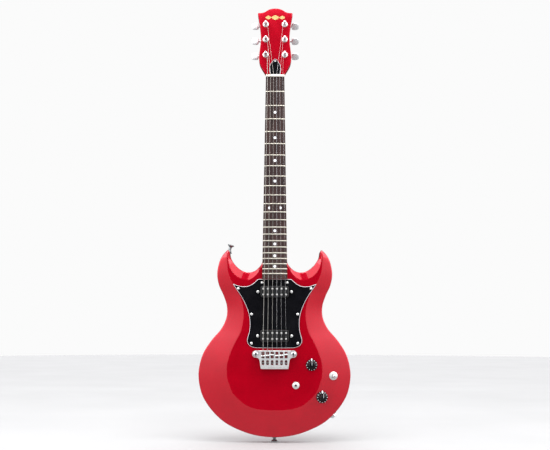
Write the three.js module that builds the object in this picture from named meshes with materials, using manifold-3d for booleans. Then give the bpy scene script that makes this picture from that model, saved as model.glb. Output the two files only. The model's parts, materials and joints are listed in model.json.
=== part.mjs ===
// Solid-body electric guitar: double-cutaway body, set neck, six strings, two twin-coil pickups,
// a one-piece wrap-around bridge, two knobs, two toggle switches and six sealed tuners.
//
// Millimetres. +Z runs up the neck to the headstock, the front faces -Y and +X is to the right of a
// person who looks at the front. The origin is on the neck's centre line, in the plane where the
// fingerboard is glued to the neck, at the front edge of the nut: the zero of the scale length.

import * as THREE from "three";
import { mergeVertices } from "three/addons/utils/BufferGeometryUtils.js";
import Module from "manifold-3d";

// ---------------------------------------------------------------- driving dimensions
const GAP = 0.3; // clearance between pieces that touch
const SCALE_LENGTH = 635;
const FRET_COUNT = 22;

const NUT_WIDTH = 43;
const BOARD_END_WIDTH = 56.3; // fingerboard at its body end
const BOARD_LENGTH = 468;
const BOARD_THICKNESS = 6;
const BOARD_RADIUS = 305; // crown of the playing surface
const FRET_HEIGHT = 1.1;
const FRET_CROWN = 2.6;
const NUT_THICKNESS = 5.2;
const NUT_HEIGHT = 9.2;

const NECK_DEPTH_NUT = 14.5; // wood only, without the fingerboard
const NECK_DEPTH_HEEL = 17.5;
// How the neck swells into the heel: height above the joint, share of the extra depth, and how
// full the section is.
const HEEL_CURVE = [[46, 0.04, 0.95], [30, 0.24, 0.8], [17, 0.63, 0.62], [7, 0.9, 0.5]];
const NECK_JOINT = 428; // where neck and body meet, below the nut
const TENON_END = 480;
const TENON_WIDTH = 44;
const TENON_BACK = 30; // depth of the tenon behind the glue plane

const BODY_FRONT = 4; // flat top of the body, behind the glue plane
const BODY_THICKNESS = 43;
const BODY_ROUND = 5; // back edge round-over

const HEAD_TILT = 6; // degrees that the headstock leans back
const HEAD_START = 6; // height of the bend above the nut's front edge
const HEAD_THICKNESS = 14;

const NUT_STRING_SPREAD = 35.5;
const BRIDGE_STRING_SPREAD = 51;
const STRING_DIAMETERS = [1.17, 0.91, 0.66, 0.46, 0.36, 0.28];
const STRING_AT_NUT = 7.9; // underside of the middle strings in front of the glue plane
const STRING_AT_SADDLE = 11.2;

const POST_SPACING = 44.9; // between the two rows of tuners
const POST_FIRST = 51.5; // along the headstock, from its bend
const POST_PITCH = 39.35;
const POST_RADIUS = 3;
const POST_HEIGHT = 15; // above the headstock's face
const WINDING_HEIGHT = 5.4; // where the string meets the post, above the face
const SLEEVE_RADIUS = 4.9;
const WORM_OFFSET = 5.6; // worm axis above the post axis
const WORM_DEPTH = 19.5; // worm axis behind the headstock's face
const GEAR_RADIUS = 3.8;
const BUTTON_START = 17; // from the post axis
const BUTTON_LENGTH = 16.5;
const BUTTON_HEIGHT = 18;
const BUTTON_THICKNESS = 6;
const BUTTON_TURNS = [0, 0, 0, 52, 52, 52]; // degrees that each button is turned at rest

const PICKUPS = [
  { name: "neck", at: 497, height: 25, front: -6.4 },
  { name: "bridge", at: 594.6, height: 26, front: -7.2 },
];
const PICKUP_WIDTH = 62;
const PICKUP_DEPTH = 17;
const PICKUP_EAR_SPAN = PICKUP_WIDTH + 24;
const COVER_WALL = 1;
const INNER_CORNER = 3; // corner radius inside a pickup cover
const POLE_PITCH = 10.1;
const POLE_ROW_SPACING = 13;
const POLE_RADIUS = 2.1;
const POLE_PROUD = 0.5;
const HEIGHT_SCREW_X = PICKUP_WIDTH / 2 + 6.4; // clear of the cover's end

const PICKGUARD_THICKNESS = 2.4;

const BRIDGE_TOP = 8.6; // front of the bridge casting, in front of the glue plane
const BRIDGE_BASE = -2.2; // underside of the casting: 1.8 above the body
const STUD_SPACING = 82.5;
const STUD_AT = 634;
const EAR_RADIUS = 7.9;
const EAR_TOP = 5.2;
const SADDLE_ROWS = [638, 637, 635.7, 637.4, 636.6, 635];
const SADDLE_WIDTH = 2.6;
const GROOVE_FLOOR = -4.9; // bottom of the grooves that lead the strings into their openings
const BALL_END = [-2, -653]; // depth and height of the strings' ball ends

const CONTROL_WALL = 5; // wood left in front of each control
const CONTROL_ROOM = 24; // how deep the room behind a control's wall reaches, from its face
const CAVITY_FLOOR = 16;
const COVER_THICKNESS = 2;
const KNOBS = [
  { name: "volume", x: 82, down: 658 },
  { name: "tone", x: 104.5, down: 727.5 },
];
const KNOB_RADIUS = 12.8;
const KNOB_HEIGHT = 18;
const SHAFT_RADIUS = 3;
const SWITCHES = [
  {
    name: "selector", x: 130, down: 681.5, washer: 9.3, bushing: 5.8,
    mouth: 4.4, stem: 1.6, tip: 4.6, reach: 17,
    case: [17, 26, 13],
  },
  {
    name: "coil_switch", x: 47, down: 702.3, washer: 7.9, bushing: 3.4,
    mouth: 2.5, stem: 1.05, tip: 1.9, reach: 12,
    case: [13, 8, 9],
  },
];
const JACK = { x: 130.3, down: 768.6, depth: 30 };
const UPPER_BUTTON_HEIGHT = 19;
const END_BUTTON_HEIGHT = 11;
const STRAP_BUTTON_RADIUS = 7.5;
const HORN_SEAT = { x: -105.3, down: 407, depth: 30, lean: 16 };
const TRUSS_ROD_RADIUS = 2.5;
const TRUSS_ROD_DEPTH = 6.4; // axis behind the glue plane

// ---------------------------------------------------------------- outlines
// Half outlines run from the centre line round the right-hand side. "down" is the distance below
// the nut. Each body station pairs a point of the outer edge with the point of the raised flat top
// that the bevel climbs to, and gives how far the bevel falls there.
const BODY_STATIONS = [
  [0, 815, 0, 758, 10],
  [32, 812.5, 20, 757.3, 10],
  [63, 805, 40, 755, 10],
  [101, 788.5, 57, 749.5, 10],
  [127, 769, 72, 740, 10],
  [148, 745, 88.5, 724, 10],
  [162, 719, 97.5, 706, 10],
  [168.6, 688, 105, 682, 10],
  [167.2, 661, 105, 658, 10],
  [158.5, 632, 98.5, 633.5, 10],
  [141, 604.5, 88, 609.5, 10],
  [119.5, 579, 75.5, 584.5, 10],
  [108.2, 554, 70.2, 556, 10],
  [107.4, 529, 71.5, 530, 10],
  [115, 505, 80, 504, 9],
  [125.5, 482, 94, 479.5, 8],
  [130, 457, 104.8, 455, 7],
  [126, 431.5, 107.8, 430, 6],
  [118.5, 415, 108.2, 416, 5.5],
  [110.5, 406, 107.6, 411, 5],
  [106.3, 402.6, 106.8, 409.5, 5],
  [102.6, 406, 106, 412, 5],
  [100.4, 418, 105.2, 421, 5.5],
  [95, 428, 103.5, 433, 6],
  [88.5, 437, 99, 446, 6.5],
  [79, 445.5, 89, 459.5, 7],
  [68, 451.3, 77, 467.5, 7],
  [56, 452.6, 63, 471, 7],
  [44.5, 449, 50.5, 466, 6.5],
  [35.5, 441.5, 40, 456, 5.5],
  [30, 434.5, 32, 444, 3.5],
  [27.7, 428, 25.5, 434, 0.8],
];
const STEPS_PER_STATION = 2;

const HEADSTOCK_SIDE = [
  [21.9, 0], [25.2, 9.5], [30.6, 18.5], [35.4, 29], [37.6, 40], [37.6, 51],
  [35.8, 68], [34, 86], [33.9, 102], [35.6, 121], [38.6, 142], [41, 156.6],
];
const HEADSTOCK_SHOULDER = [[41.2, 158.6], [40.4, 160], [38.8, 160.5]];
const HEADSTOCK_CROWN = [[38.8, 160.5], [31, 161], [24.5, 163.4], [17, 168.4], [9, 171.6], [0, 172.6]];

const PICKGUARD_SIDES = [
  [[37.2, 468.7], [49.8, 479.6], [61, 484.6], [73, 485], [84, 482.8], [92.4, 479.4]],
  [[93, 480.4], [85, 492], [74.5, 507.5], [64.5, 526.5], [57.5, 546], [54.9, 566], [56.2, 585], [59.5, 597],
    [60.8, 604.5], [58.8, 612], [52.8, 617.6], [43.8, 620.4], [30, 621], [0, 621.2]],
];

const BRIDGE_SIDE = [[30.2, 666.4], [31.2, 660], [32.4, 651.5], [33.4, 646.6], [35.6, 643.4], [38.6, 642]];
const BRIDGE_TOP_EDGE = 626;
const BRIDGE_BOTTOM_EDGE = 666.6;

const CAVITY_OUTLINE = [
  [80, 634], [108, 639], [140, 659], [150, 682], [143, 712], [122, 745], [98, 750], [70, 735],
  [36, 718], [29, 703], [38, 690], [56, 680], [62, 655],
];

// ---------------------------------------------------------------- solids
const wasm = await Module();
wasm.setup();

/** Any closed three.js geometry as a solid, whichever way its profile was drawn. */
function solid(geometry) {
  const bare = geometry.index ? geometry.toNonIndexed() : geometry.clone();
  bare.deleteAttribute("normal");
  bare.deleteAttribute("uv");
  const merged = mergeVertices(bare, 1e-4);
  const corners = [];
  for (let i = 0; i < merged.index.count; i += 3) {
    const [a, b, c] = [0, 1, 2].map((k) => merged.index.getX(i + k));
    if (a !== b && b !== c && c !== a) corners.push(a, b, c);
  }
  const build = (triangles) => new wasm.Manifold(new wasm.Mesh({
    numProp: 3, vertProperties: merged.attributes.position.array, triVerts: new Uint32Array(triangles),
  }));
  const made = build(corners);
  return made.volume() < 0 ? build(corners.toReversed()) : made;
}

/** A solid's surface as a three.js geometry with flat facets. */
function surface(made) {
  const mesh = made.getMesh();
  const geometry = new THREE.BufferGeometry();
  const places = new Float32Array(mesh.numVert * 3);
  for (let i = 0; i < mesh.numVert; i++) {
    places.set(mesh.vertProperties.subarray(i * mesh.numProp, i * mesh.numProp + 3), i * 3);
  }
  geometry.setAttribute("position", new THREE.BufferAttribute(places, 3));
  geometry.setIndex(new THREE.BufferAttribute(new Uint32Array(mesh.triVerts), 1));
  const facets = geometry.toNonIndexed();
  facets.computeVertexNormals();
  return facets;
}

const join = (...geometries) => geometries.map(asSolid).reduce((all, next) => all.add(next));
const cut = (from, ...tools) => tools.map(asSolid).reduce((left, tool) => left.subtract(tool), asSolid(from));
const asSolid = (thing) => (thing.isBufferGeometry ? solid(thing) : thing);

/** A flat outline in X and Z, given thickness in Y from its back to its front. */
function plate(shape, back, front, curveSegments = 6) {
  const settings = { depth: back - front, bevelEnabled: false, curveSegments };
  const geometry = new THREE.ExtrudeGeometry(shape, settings);
  return geometry.rotateX(Math.PI / 2).translate(0, back, 0);
}

/** A block between two corners. */
function block([x0, y0, z0], [x1, y1, z1]) {
  return new THREE.BoxGeometry(x1 - x0, y1 - y0, z1 - z0)
    .translate((x0 + x1) / 2, (y0 + y1) / 2, (z0 + z1) / 2);
}

/** A disc or rod along Y. */
function roundY(radius, back, front, sides = 16, endRadius = radius) {
  const cylinder = new THREE.CylinderGeometry(radius, endRadius, back - front, sides);
  return cylinder.translate(0, (back + front) / 2, 0);
}

/** A rod along X. */
function roundX(radius, from, to, sides = 12) {
  return new THREE.CylinderGeometry(radius, radius, Math.abs(to - from), sides)
    .rotateZ(Math.PI / 2).translate((from + to) / 2, 0, 0);
}

/** A hexagonal nut along Y, given by the width across its flats. */
const hexY = (acrossFlats, back, front) => roundY(acrossFlats / Math.sqrt(3), back, front, 6);

/** A turned piece along Y: its profile is pairs of radius and y. */
function turned(profile, sides) {
  return new THREE.LatheGeometry(profile.map(([r, y]) => new THREE.Vector2(r, y)), sides);
}

/** A straight round wire between two points. */
function wire(from, to, radius, sides = 6) {
  const along = new THREE.Vector3().subVectors(to, from);
  const upright = new THREE.Vector3(0, 1, 0);
  const turn = new THREE.Quaternion().setFromUnitVectors(upright, along.clone().normalize());
  return new THREE.CylinderGeometry(radius, radius, along.length(), sides)
    .applyQuaternion(turn).translate(...from.clone().add(to).multiplyScalar(0.5).toArray());
}

/** A closed skin through rings of matching points, capped at both ends, flat ends seen along an axis. */
function loft(rings, flatten) {
  const count = rings[0].length;
  const positions = rings.flat().flatMap((p) => p.toArray());
  const triangles = [];
  for (let r = 0; r + 1 < rings.length; r++) {
    for (let i = 0; i < count; i++) {
      const next = (i + 1) % count;
      const [a, b, c, d] = [r * count + i, r * count + next, (r + 1) * count + next, (r + 1) * count + i];
      triangles.push(a, b, c, a, c, d);
    }
  }
  const cap = (ring, start, forwards) => {
    const outline = ring.map(flatten);
    const turnOf = (points) => Math.sign(THREE.ShapeUtils.area(points));
    for (const face of THREE.ShapeUtils.triangulateShape(outline, [])) {
      const same = turnOf(face.map((i) => outline[i])) === turnOf(outline);
      const order = same === forwards ? face : [face[0], face[2], face[1]];
      triangles.push(...order.map((i) => start + i));
    }
  };
  cap(rings[0], 0, false);
  cap(rings.at(-1), (rings.length - 1) * count, true);
  const geometry = new THREE.BufferGeometry();
  geometry.setAttribute("position", new THREE.Float32BufferAttribute(positions, 3));
  geometry.setIndex(triangles);
  return geometry;
}

/** Points on a smooth curve through the given ones. */
function smooth(points, steps) {
  return new THREE.SplineCurve(points.map(([x, y]) => new THREE.Vector2(x, y))).getPoints(steps);
}

/** A closed shape from a right-hand half that runs from the centre line's one end to the other. */
function mirroredShape(half) {
  const left = half.filter((p) => Math.abs(p.x) > 1e-6).map((p) => new THREE.Vector2(-p.x, p.y)).reverse();
  return new THREE.Shape([...half, ...left]);
}

/** A rectangle with round corners, centred on a point of X and Z. */
function roundedBox(width, height, radius, x = 0, z = 0) {
  const shape = new THREE.Shape();
  const [w, h] = [width / 2 - radius, height / 2 - radius];
  shape.absarc(x + w, z + h, radius, 0, Math.PI / 2);
  shape.absarc(x - w, z + h, radius, Math.PI / 2, Math.PI);
  shape.absarc(x - w, z - h, radius, Math.PI, 1.5 * Math.PI);
  shape.absarc(x + w, z - h, radius, 1.5 * Math.PI, 2 * Math.PI);
  return shape;
}

// ---------------------------------------------------------------- finishes
const FINISHES = {
  red_lacquer: [0xa8001c, 0.12, 0],
  rosewood: [0x2e1c18, 0.55, 0],
  bone: [0xf1ede2, 0.4, 0],
  black_plastic: [0x0b0b0d, 0.18, 0],
  grey_plastic: [0x3b3b3f, 0.35, 0],
  chrome: [0xd8dadc, 0.1, 1],
  cast_aluminium: [0xc9cbce, 0.25, 1],
  steel: [0xb5b5b5, 0.3, 1],
  brass: [0xb58b45, 0.35, 1],
  felt: [0x161616, 0.95, 0],
};
const materials = Object.fromEntries(Object.entries(FINISHES).map(([name, [color, roughness, metalness]]) => [
  name, new THREE.MeshStandardMaterial({ name, color, roughness, metalness }),
]));

/** One named piece of the guitar. */
function piece(name, finish, thing) {
  const mesh = new THREE.Mesh(surface(asSolid(thing)), materials[finish]);
  mesh.name = name;
  return mesh;
}

// ---------------------------------------------------------------- shared places
const { degToRad: radians, lerp } = THREE.MathUtils;
const fretDown = (number) => SCALE_LENGTH * (1 - 2 ** (-number / 12));
const boardHalfWidth = (down) => (NUT_WIDTH + (BOARD_END_WIDTH - NUT_WIDTH) * (down / BOARD_LENGTH)) / 2;
const crownDrop = (x) => BOARD_RADIUS - Math.sqrt(BOARD_RADIUS ** 2 - x * x);
const stringX = (index, spread) => spread * (index / (STRING_DIAMETERS.length - 1) - 0.5);

const headstockFrame = new THREE.Matrix4().makeRotationX(-radians(HEAD_TILT)).setPosition(0, 0, HEAD_START);
const tunerPlaces = STRING_DIAMETERS.map((_, i) => {
  const side = i < 3 ? -1 : 1;
  const fromNut = i < 3 ? i : 5 - i;
  return { number: i + 1, side, x: (side * POST_SPACING) / 2, up: POST_FIRST + fromNut * POST_PITCH };
});

const bodyBack = BODY_FRONT + BODY_THICKNESS;
const BODY_STEPS = (BODY_STATIONS.length - 1) * STEPS_PER_STATION;
const outerHalf = smooth(BODY_STATIONS.map(([x, down]) => [x, -down]), BODY_STEPS);
const innerHalf = smooth(BODY_STATIONS.map(([, , x, down]) => [x, -down]), BODY_STEPS);
const fallHalf = smooth(BODY_STATIONS.map((row, i) => [i, row[4]]), BODY_STEPS);

/** Depth and slope of the body's front under a point: flat inside the crease, falling towards the rim. */
function frontAt(x, down) {
  const here = new THREE.Vector2(x, -down);
  let best = { distance: Infinity };
  outerHalf.forEach((outer, i) => {
    const across = new THREE.Vector2().subVectors(outer, innerHalf[i]);
    const share = new THREE.Vector2().subVectors(here, innerHalf[i]).dot(across) / across.lengthSq();
    const foot = innerHalf[i].clone().addScaledVector(across, THREE.MathUtils.clamp(share, 0, 1));
    const distance = foot.distanceTo(here);
    if (distance < best.distance) best = { distance, share, across, fall: fallHalf[i].y };
  });
  if (best.share <= 0) return { y: BODY_FRONT, normal: new THREE.Vector3(0, -1, 0) };
  const steepness = best.fall / best.across.length();
  const outward = best.across.clone().normalize().multiplyScalar(steepness);
  return {
    y: BODY_FRONT + best.share * best.fall,
    normal: new THREE.Vector3(outward.x, -1, outward.y).normalize(),
  };
}

/** A frame whose -Y axis is the given outward direction. */
function frameOn(position, outward) {
  const turn = new THREE.Quaternion().setFromUnitVectors(new THREE.Vector3(0, -1, 0), outward);
  return new THREE.Matrix4().compose(position, turn, new THREE.Vector3(1, 1, 1));
}
function controlFrame({ x, down }) {
  const { y, normal } = frontAt(x, down);
  return frameOn(new THREE.Vector3(x, y, -down), normal);
}

/** The rim's outward direction at the point of the outline nearest to a place. */
function rimNormal(x, down) {
  const here = new THREE.Vector2(x, -down);
  const distances = outerHalf.map((p) => p.distanceTo(here));
  const nearest = distances.indexOf(Math.min(...distances));
  const tangent = new THREE.Vector2().subVectors(outerHalf[nearest + 1], outerHalf[nearest - 1]).normalize();
  return new THREE.Vector3(tangent.y, 0, -tangent.x);
}
const jackFrame = frameOn(new THREE.Vector3(JACK.x, JACK.depth, -JACK.down), rimNormal(JACK.x, JACK.down));
const hornLean = radians(HORN_SEAT.lean);
const hornFrame = frameOn(
  new THREE.Vector3(HORN_SEAT.x, HORN_SEAT.depth, -HORN_SEAT.down),
  new THREE.Vector3(Math.sin(hornLean), 0, Math.cos(hornLean)),
);
const endSpot = new THREE.Vector3(0, HORN_SEAT.depth, -BODY_STATIONS[0][1]);
const endFrame = frameOn(endSpot, new THREE.Vector3(0, 0, -1));

/** A group that stands in one of the frames above. */
function groupIn(frame, ...children) {
  const group = new THREE.Group();
  frame.decompose(group.position, group.quaternion, group.scale);
  children.forEach((child) => group.add(child));
  return group;
}

// ---------------------------------------------------------------- body
/** One ring of the body's skin. The edge is drawn in by an inset and set at a depth. */
function bodyRing(placeOf) {
  const right = outerHalf.map((outer, i) => placeOf(outer, innerHalf[i], fallHalf[i].y));
  const left = right.slice(1).reverse().map((p) => new THREE.Vector3(-p.x, p.y, p.z));
  return [...right, ...left];
}
function drawnIn(inset, depthOf) {
  return bodyRing((outer, inner, fall) => {
    const share = Math.min(1, inset / outer.distanceTo(inner));
    const p = outer.clone().lerp(inner, share);
    return new THREE.Vector3(p.x, depthOf(fall, share), p.y);
  });
}
function bodyBlank() {
  const rings = [
    drawnIn(BODY_ROUND, () => bodyBack),
    drawnIn(0, () => bodyBack - BODY_ROUND),
    drawnIn(0, (fall) => BODY_FRONT + fall + 3),
    drawnIn(3, (fall, share) => BODY_FRONT + fall * (1 - share)),
    bodyRing((outer, inner) => new THREE.Vector3(inner.x, BODY_FRONT, inner.y)),
  ];
  return solid(loft(rings, (p) => new THREE.Vector2(p.x, p.z)));
}

/** The control cavity's outline, grown or shrunk evenly about its middle. */
function cavityShape(grow) {
  const middle = CAVITY_OUTLINE
    .reduce((sum, [x, down]) => sum.add(new THREE.Vector2(x, -down)), new THREE.Vector2())
    .divideScalar(CAVITY_OUTLINE.length);
  const points = CAVITY_OUTLINE.map(([x, down]) => {
    const away = new THREE.Vector2(x, -down).sub(middle);
    return middle.clone().add(away.setLength(away.length() + grow));
  });
  const loop = new THREE.SplineCurve([...points, points[0]]).getPoints(CAVITY_OUTLINE.length * 2);
  return new THREE.Shape(loop.slice(0, -1));
}

const COVER_RIM = 6; // ledge that the control cover lies on
function pickupRoute({ at, front }) {
  const floor = front + PICKUP_DEPTH + 7;
  return join(
    plate(roundedBox(PICKUP_WIDTH + 4, 33, 5, 0, -at), floor, BODY_FRONT - 1, 2),
    plate(roundedBox(PICKUP_EAR_SPAN + 6, 18, 5, 0, -at), floor, BODY_FRONT - 1, 2),
  );
}

function controlBores() {
  const tools = [];
  for (const knob of KNOBS) {
    const frame = controlFrame(knob);
    tools.push(roundY(4.2, 20, -3, 10).applyMatrix4(frame));
    tools.push(roundY(13.4, 22, CONTROL_WALL, 14).applyMatrix4(frame));
  }
  for (const control of SWITCHES) {
    const frame = controlFrame(control);
    const [width, height] = control.case;
    tools.push(roundY(control.bushing + GAP, 20, -3, 12).applyMatrix4(frame));
    const [halfWidth, halfHeight] = [width / 2 + 1.5, height / 2 + 1.5];
    const room = block([-halfWidth, CONTROL_WALL, -halfHeight], [halfWidth, CONTROL_ROOM, halfHeight]);
    tools.push(room.applyMatrix4(frame));
  }
  return tools;
}

function buildBody() {
  const cavity = join(
    plate(cavityShape(0), bodyBack + 1, CAVITY_FLOOR),
    plate(cavityShape(COVER_RIM + GAP), bodyBack + 1, bodyBack - COVER_THICKNESS - GAP),
  );
  const pocket = block(
    [-TENON_WIDTH / 2 - GAP, -1, -TENON_END - GAP],
    [TENON_WIDTH / 2 + GAP, TENON_BACK + GAP, -NECK_JOINT + 5],
  );
  const wireWay = (from, to) => wire(new THREE.Vector3(...from), new THREE.Vector3(...to), 3.5, 8);
  const studHoles = [-1, 1].map((side) => roundY(4.9, BODY_FRONT + 19, 0, 12)
    .translate(side * STUD_SPACING / 2, 0, -STUD_AT));
  return cut(
    bodyBlank(),
    pocket,
    ...PICKUPS.map(pickupRoute),
    cavity,
    ...controlBores(),
    ...studHoles,
    wireWay([20, 14, -505], [20, 14, -588]),
    wireWay([30, 15, -600], [75, 26, -665]),
    roundY(5.9, 42, -4, 12).applyMatrix4(jackFrame),
    roundY(8.2, GAP, -20, 12).applyMatrix4(hornFrame),
    roundY(2.3, 15, -1, 8).applyMatrix4(hornFrame),
    roundY(2.3, 15, -3, 8).applyMatrix4(endFrame),
  );
}

// ---------------------------------------------------------------- neck
/** One D-shaped section of the neck: flat glue face, short upright sides, round back. */
function neckSection(down, halfWidth, depth, fullness) {
  const side = 3;
  const steps = 8;
  const points = [new THREE.Vector3(-halfWidth, 0, -down)];
  for (let i = 0; i <= steps; i++) {
    const angle = (Math.PI * i) / steps;
    const x = -halfWidth * Math.sign(Math.cos(angle)) * Math.abs(Math.cos(angle)) ** fullness;
    points.push(new THREE.Vector3(x, side + (depth - side) * Math.sin(angle) ** fullness, -down));
  }
  points.push(new THREE.Vector3(halfWidth, 0, -down));
  return points;
}

function headstockShape() {
  const side = smooth(HEADSTOCK_SIDE, 20);
  const shoulder = HEADSTOCK_SHOULDER.map(([x, y]) => new THREE.Vector2(x, y));
  const crown = smooth(HEADSTOCK_CROWN, 8).slice(1);
  return mirroredShape([...side, ...shoulder, ...crown]);
}

function buildNeck() {
  const heelDepth = bodyBack - BODY_ROUND;
  const jointDown = NECK_JOINT - GAP;
  const stations = [
    [-12, NUT_WIDTH / 2 - 1, NECK_DEPTH_NUT - 0.5, 0.9],
    [-4, NUT_WIDTH / 2, NECK_DEPTH_NUT + 0.5, 0.95],
    [12, boardHalfWidth(12), NECK_DEPTH_NUT, 1],
    [NECK_JOINT - 68, boardHalfWidth(NECK_JOINT - 68), NECK_DEPTH_HEEL, 1],
    ...HEEL_CURVE.map(([above, share, fullness]) => [
      NECK_JOINT - above,
      boardHalfWidth(NECK_JOINT - above),
      lerp(NECK_DEPTH_HEEL, heelDepth, share),
      fullness,
    ]),
    [jointDown, boardHalfWidth(jointDown), heelDepth, 0.42],
  ];
  const shaft = loft(stations.map((row) => neckSection(...row)), (p) => new THREE.Vector2(p.x, p.y));
  const shelf = new THREE.Shape([
    [-boardHalfWidth(jointDown), 1 - NECK_JOINT], [boardHalfWidth(jointDown), 1 - NECK_JOINT],
    [boardHalfWidth(BOARD_LENGTH), -BOARD_LENGTH], [-boardHalfWidth(BOARD_LENGTH), -BOARD_LENGTH],
  ].map(([x, z]) => new THREE.Vector2(x, z)));
  const tenon = block(
    [-TENON_WIDTH / 2, BODY_FRONT + GAP, -TENON_END], [TENON_WIDTH / 2, TENON_BACK, 1 - NECK_JOINT],
  );
  const tenonTop = block(
    [-TENON_WIDTH / 2, 1, -BOARD_LENGTH],
    [TENON_WIDTH / 2, BODY_FRONT + 1, 1 - NECK_JOINT],
  );
  const headstock = plate(headstockShape(), HEAD_THICKNESS, 0).applyMatrix4(headstockFrame);
  const rodChannel = block([-3, -1, -NECK_JOINT], [3, TRUSS_ROD_DEPTH + 3, 12]);
  const nutPocket = block([-7, -8, 2], [7, TRUSS_ROD_DEPTH + 4.5, 27]).applyMatrix4(headstockFrame);
  const inFrontOfFace = block([-50, -20, 0], [50, 0, 200]).applyMatrix4(headstockFrame);
  const coverScrewHole = roundY(1.6, 10, -1, 6).translate(0, 0, COVER_SCREW_AT).applyMatrix4(headstockFrame);
  const sleeveHoles = tunerPlaces.map(({ x, up }) => roundY(SLEEVE_RADIUS + GAP, HEAD_THICKNESS + 2, -2, 12)
    .translate(x, 0, up).applyMatrix4(headstockFrame));
  return cut(
    join(shaft, plate(shelf, BODY_FRONT - GAP, 0), tenon, tenonTop, headstock),
    inFrontOfFace, rodChannel, nutPocket, coverScrewHole, ...sleeveHoles,
  );
}

/** The band of the crowned playing surface between two heights, as a section in X and Y. */
function crownBand(halfWidth, back, front, steps = 6) {
  const top = Array.from({ length: steps + 1 }, (_, i) => {
    const x = halfWidth * (1 - (2 * i) / steps);
    return [x, front + crownDrop(x)];
  });
  return [[-halfWidth, back], [halfWidth, back], ...top];
}
function buildFingerboard() {
  const section = (down) => crownBand(boardHalfWidth(down), -GAP, -GAP - BOARD_THICKNESS, 4)
    .map(([x, y]) => new THREE.Vector3(x, y, -down));
  const board = loft([section(0), section(BOARD_LENGTH)], (p) => new THREE.Vector2(p.x, p.y));
  const frets = Array.from({ length: FRET_COUNT }, (_, i) => {
    const down = fretDown(i + 1);
    const top = -GAP - BOARD_THICKNESS - FRET_HEIGHT;
    const band = crownBand(boardHalfWidth(down) - 0.1, top + FRET_HEIGHT + 2, top, 2);
    const shape = new THREE.Shape(band.map(([x, y]) => new THREE.Vector2(x, y)));
    return new THREE.ExtrudeGeometry(shape, { depth: FRET_CROWN, bevelEnabled: false })
      .translate(0, 0, -down - FRET_CROWN / 2);
  });
  return join(board, ...frets);
}

function buildNut() {
  const band = crownBand(NUT_WIDTH / 2, -GAP, -NUT_HEIGHT);
  const section = (z) => band.map(([x, y]) => new THREE.Vector3(x, y, z));
  const blank = loft([section(GAP), section(NUT_THICKNESS)], (p) => new THREE.Vector2(p.x, p.y));
  const slots = STRING_DIAMETERS.map((diameter, i) => {
    const x = stringX(i, NUT_STRING_SPREAD);
    const reach = diameter / 2 + GAP;
    const floor = -STRING_AT_NUT + crownDrop(x) + GAP;
    return block([x - reach, -NUT_HEIGHT - 1, -1], [x + reach, floor, NUT_THICKNESS + 1]);
  });
  return cut(blank, ...slots);
}

function buildTrussRod() {
  const rod = new THREE.CylinderGeometry(TRUSS_ROD_RADIUS, TRUSS_ROD_RADIUS, NECK_JOINT + 8, 10)
    .rotateX(Math.PI / 2).translate(0, TRUSS_ROD_DEPTH, (12 - (NECK_JOINT - 4)) / 2);
  const nut = new THREE.CylinderGeometry(4, 4, 12, 6).rotateX(Math.PI / 2).translate(0, TRUSS_ROD_DEPTH, 17);
  const key = new THREE.CylinderGeometry(2, 2, 6, 6).rotateX(Math.PI / 2).translate(0, TRUSS_ROD_DEPTH, 22);
  return cut(join(rod, nut), key);
}

const COVER_SCREW_AT = 34.5;
const COVER_OUTLINE = [
  [11.3, 0.8], [12.4, 6], [13.4, 13], [13.2, 20], [11, 27], [6.8, 34], [2.6, 39.2], [0, 40.4],
];
const COVER_SHEET = 2;
function buildTrussCover() {
  const sheet = plate(mirroredShape(smooth(COVER_OUTLINE, 16)), -GAP, -GAP - COVER_SHEET);
  return cut(sheet, roundY(1.6, 1, -4, 8).translate(0, 0, COVER_SCREW_AT));
}
function buildCoverScrew() {
  const seat = -2 * GAP - COVER_SHEET;
  return turned([
    [0, 9], [1.3, 7.5], [1.3, seat], [2.9, seat], [2.9, seat - 0.6], [1.6, seat - 1.6], [0, seat - 1.8],
  ], 10).translate(0, 0, COVER_SCREW_AT);
}

// ---------------------------------------------------------------- strings and tuners
function buildString(index) {
  const radius = STRING_DIAMETERS[index] / 2;
  const [nutX, saddleX] = [stringX(index, NUT_STRING_SPREAD), stringX(index, BRIDGE_STRING_SPREAD)];
  const { side, x, up } = tunerPlaces[index];
  const windingX = x - side * (POST_RADIUS + radius + GAP);
  const saddleY = -STRING_AT_SADDLE + crownDrop(saddleX) - radius - 0.1;
  const saddleBack = SADDLE_ROWS[index] + SADDLE_WIDTH / 2;
  const points = [
    new THREE.Vector3(windingX, -WINDING_HEIGHT, up).applyMatrix4(headstockFrame),
    new THREE.Vector3(nutX, -STRING_AT_NUT + crownDrop(nutX) - radius, NUT_THICKNESS / 2),
    new THREE.Vector3(saddleX, saddleY, -saddleBack),
    new THREE.Vector3(saddleX, ...BALL_END),
  ];
  const legs = points.slice(1).map((to, i) => wire(points[i], to, radius));
  const ball = roundX(1.9, -1.7, 1.7, 6).translate(saddleX, ...BALL_END);
  return join(...legs, ball);
}

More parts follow.
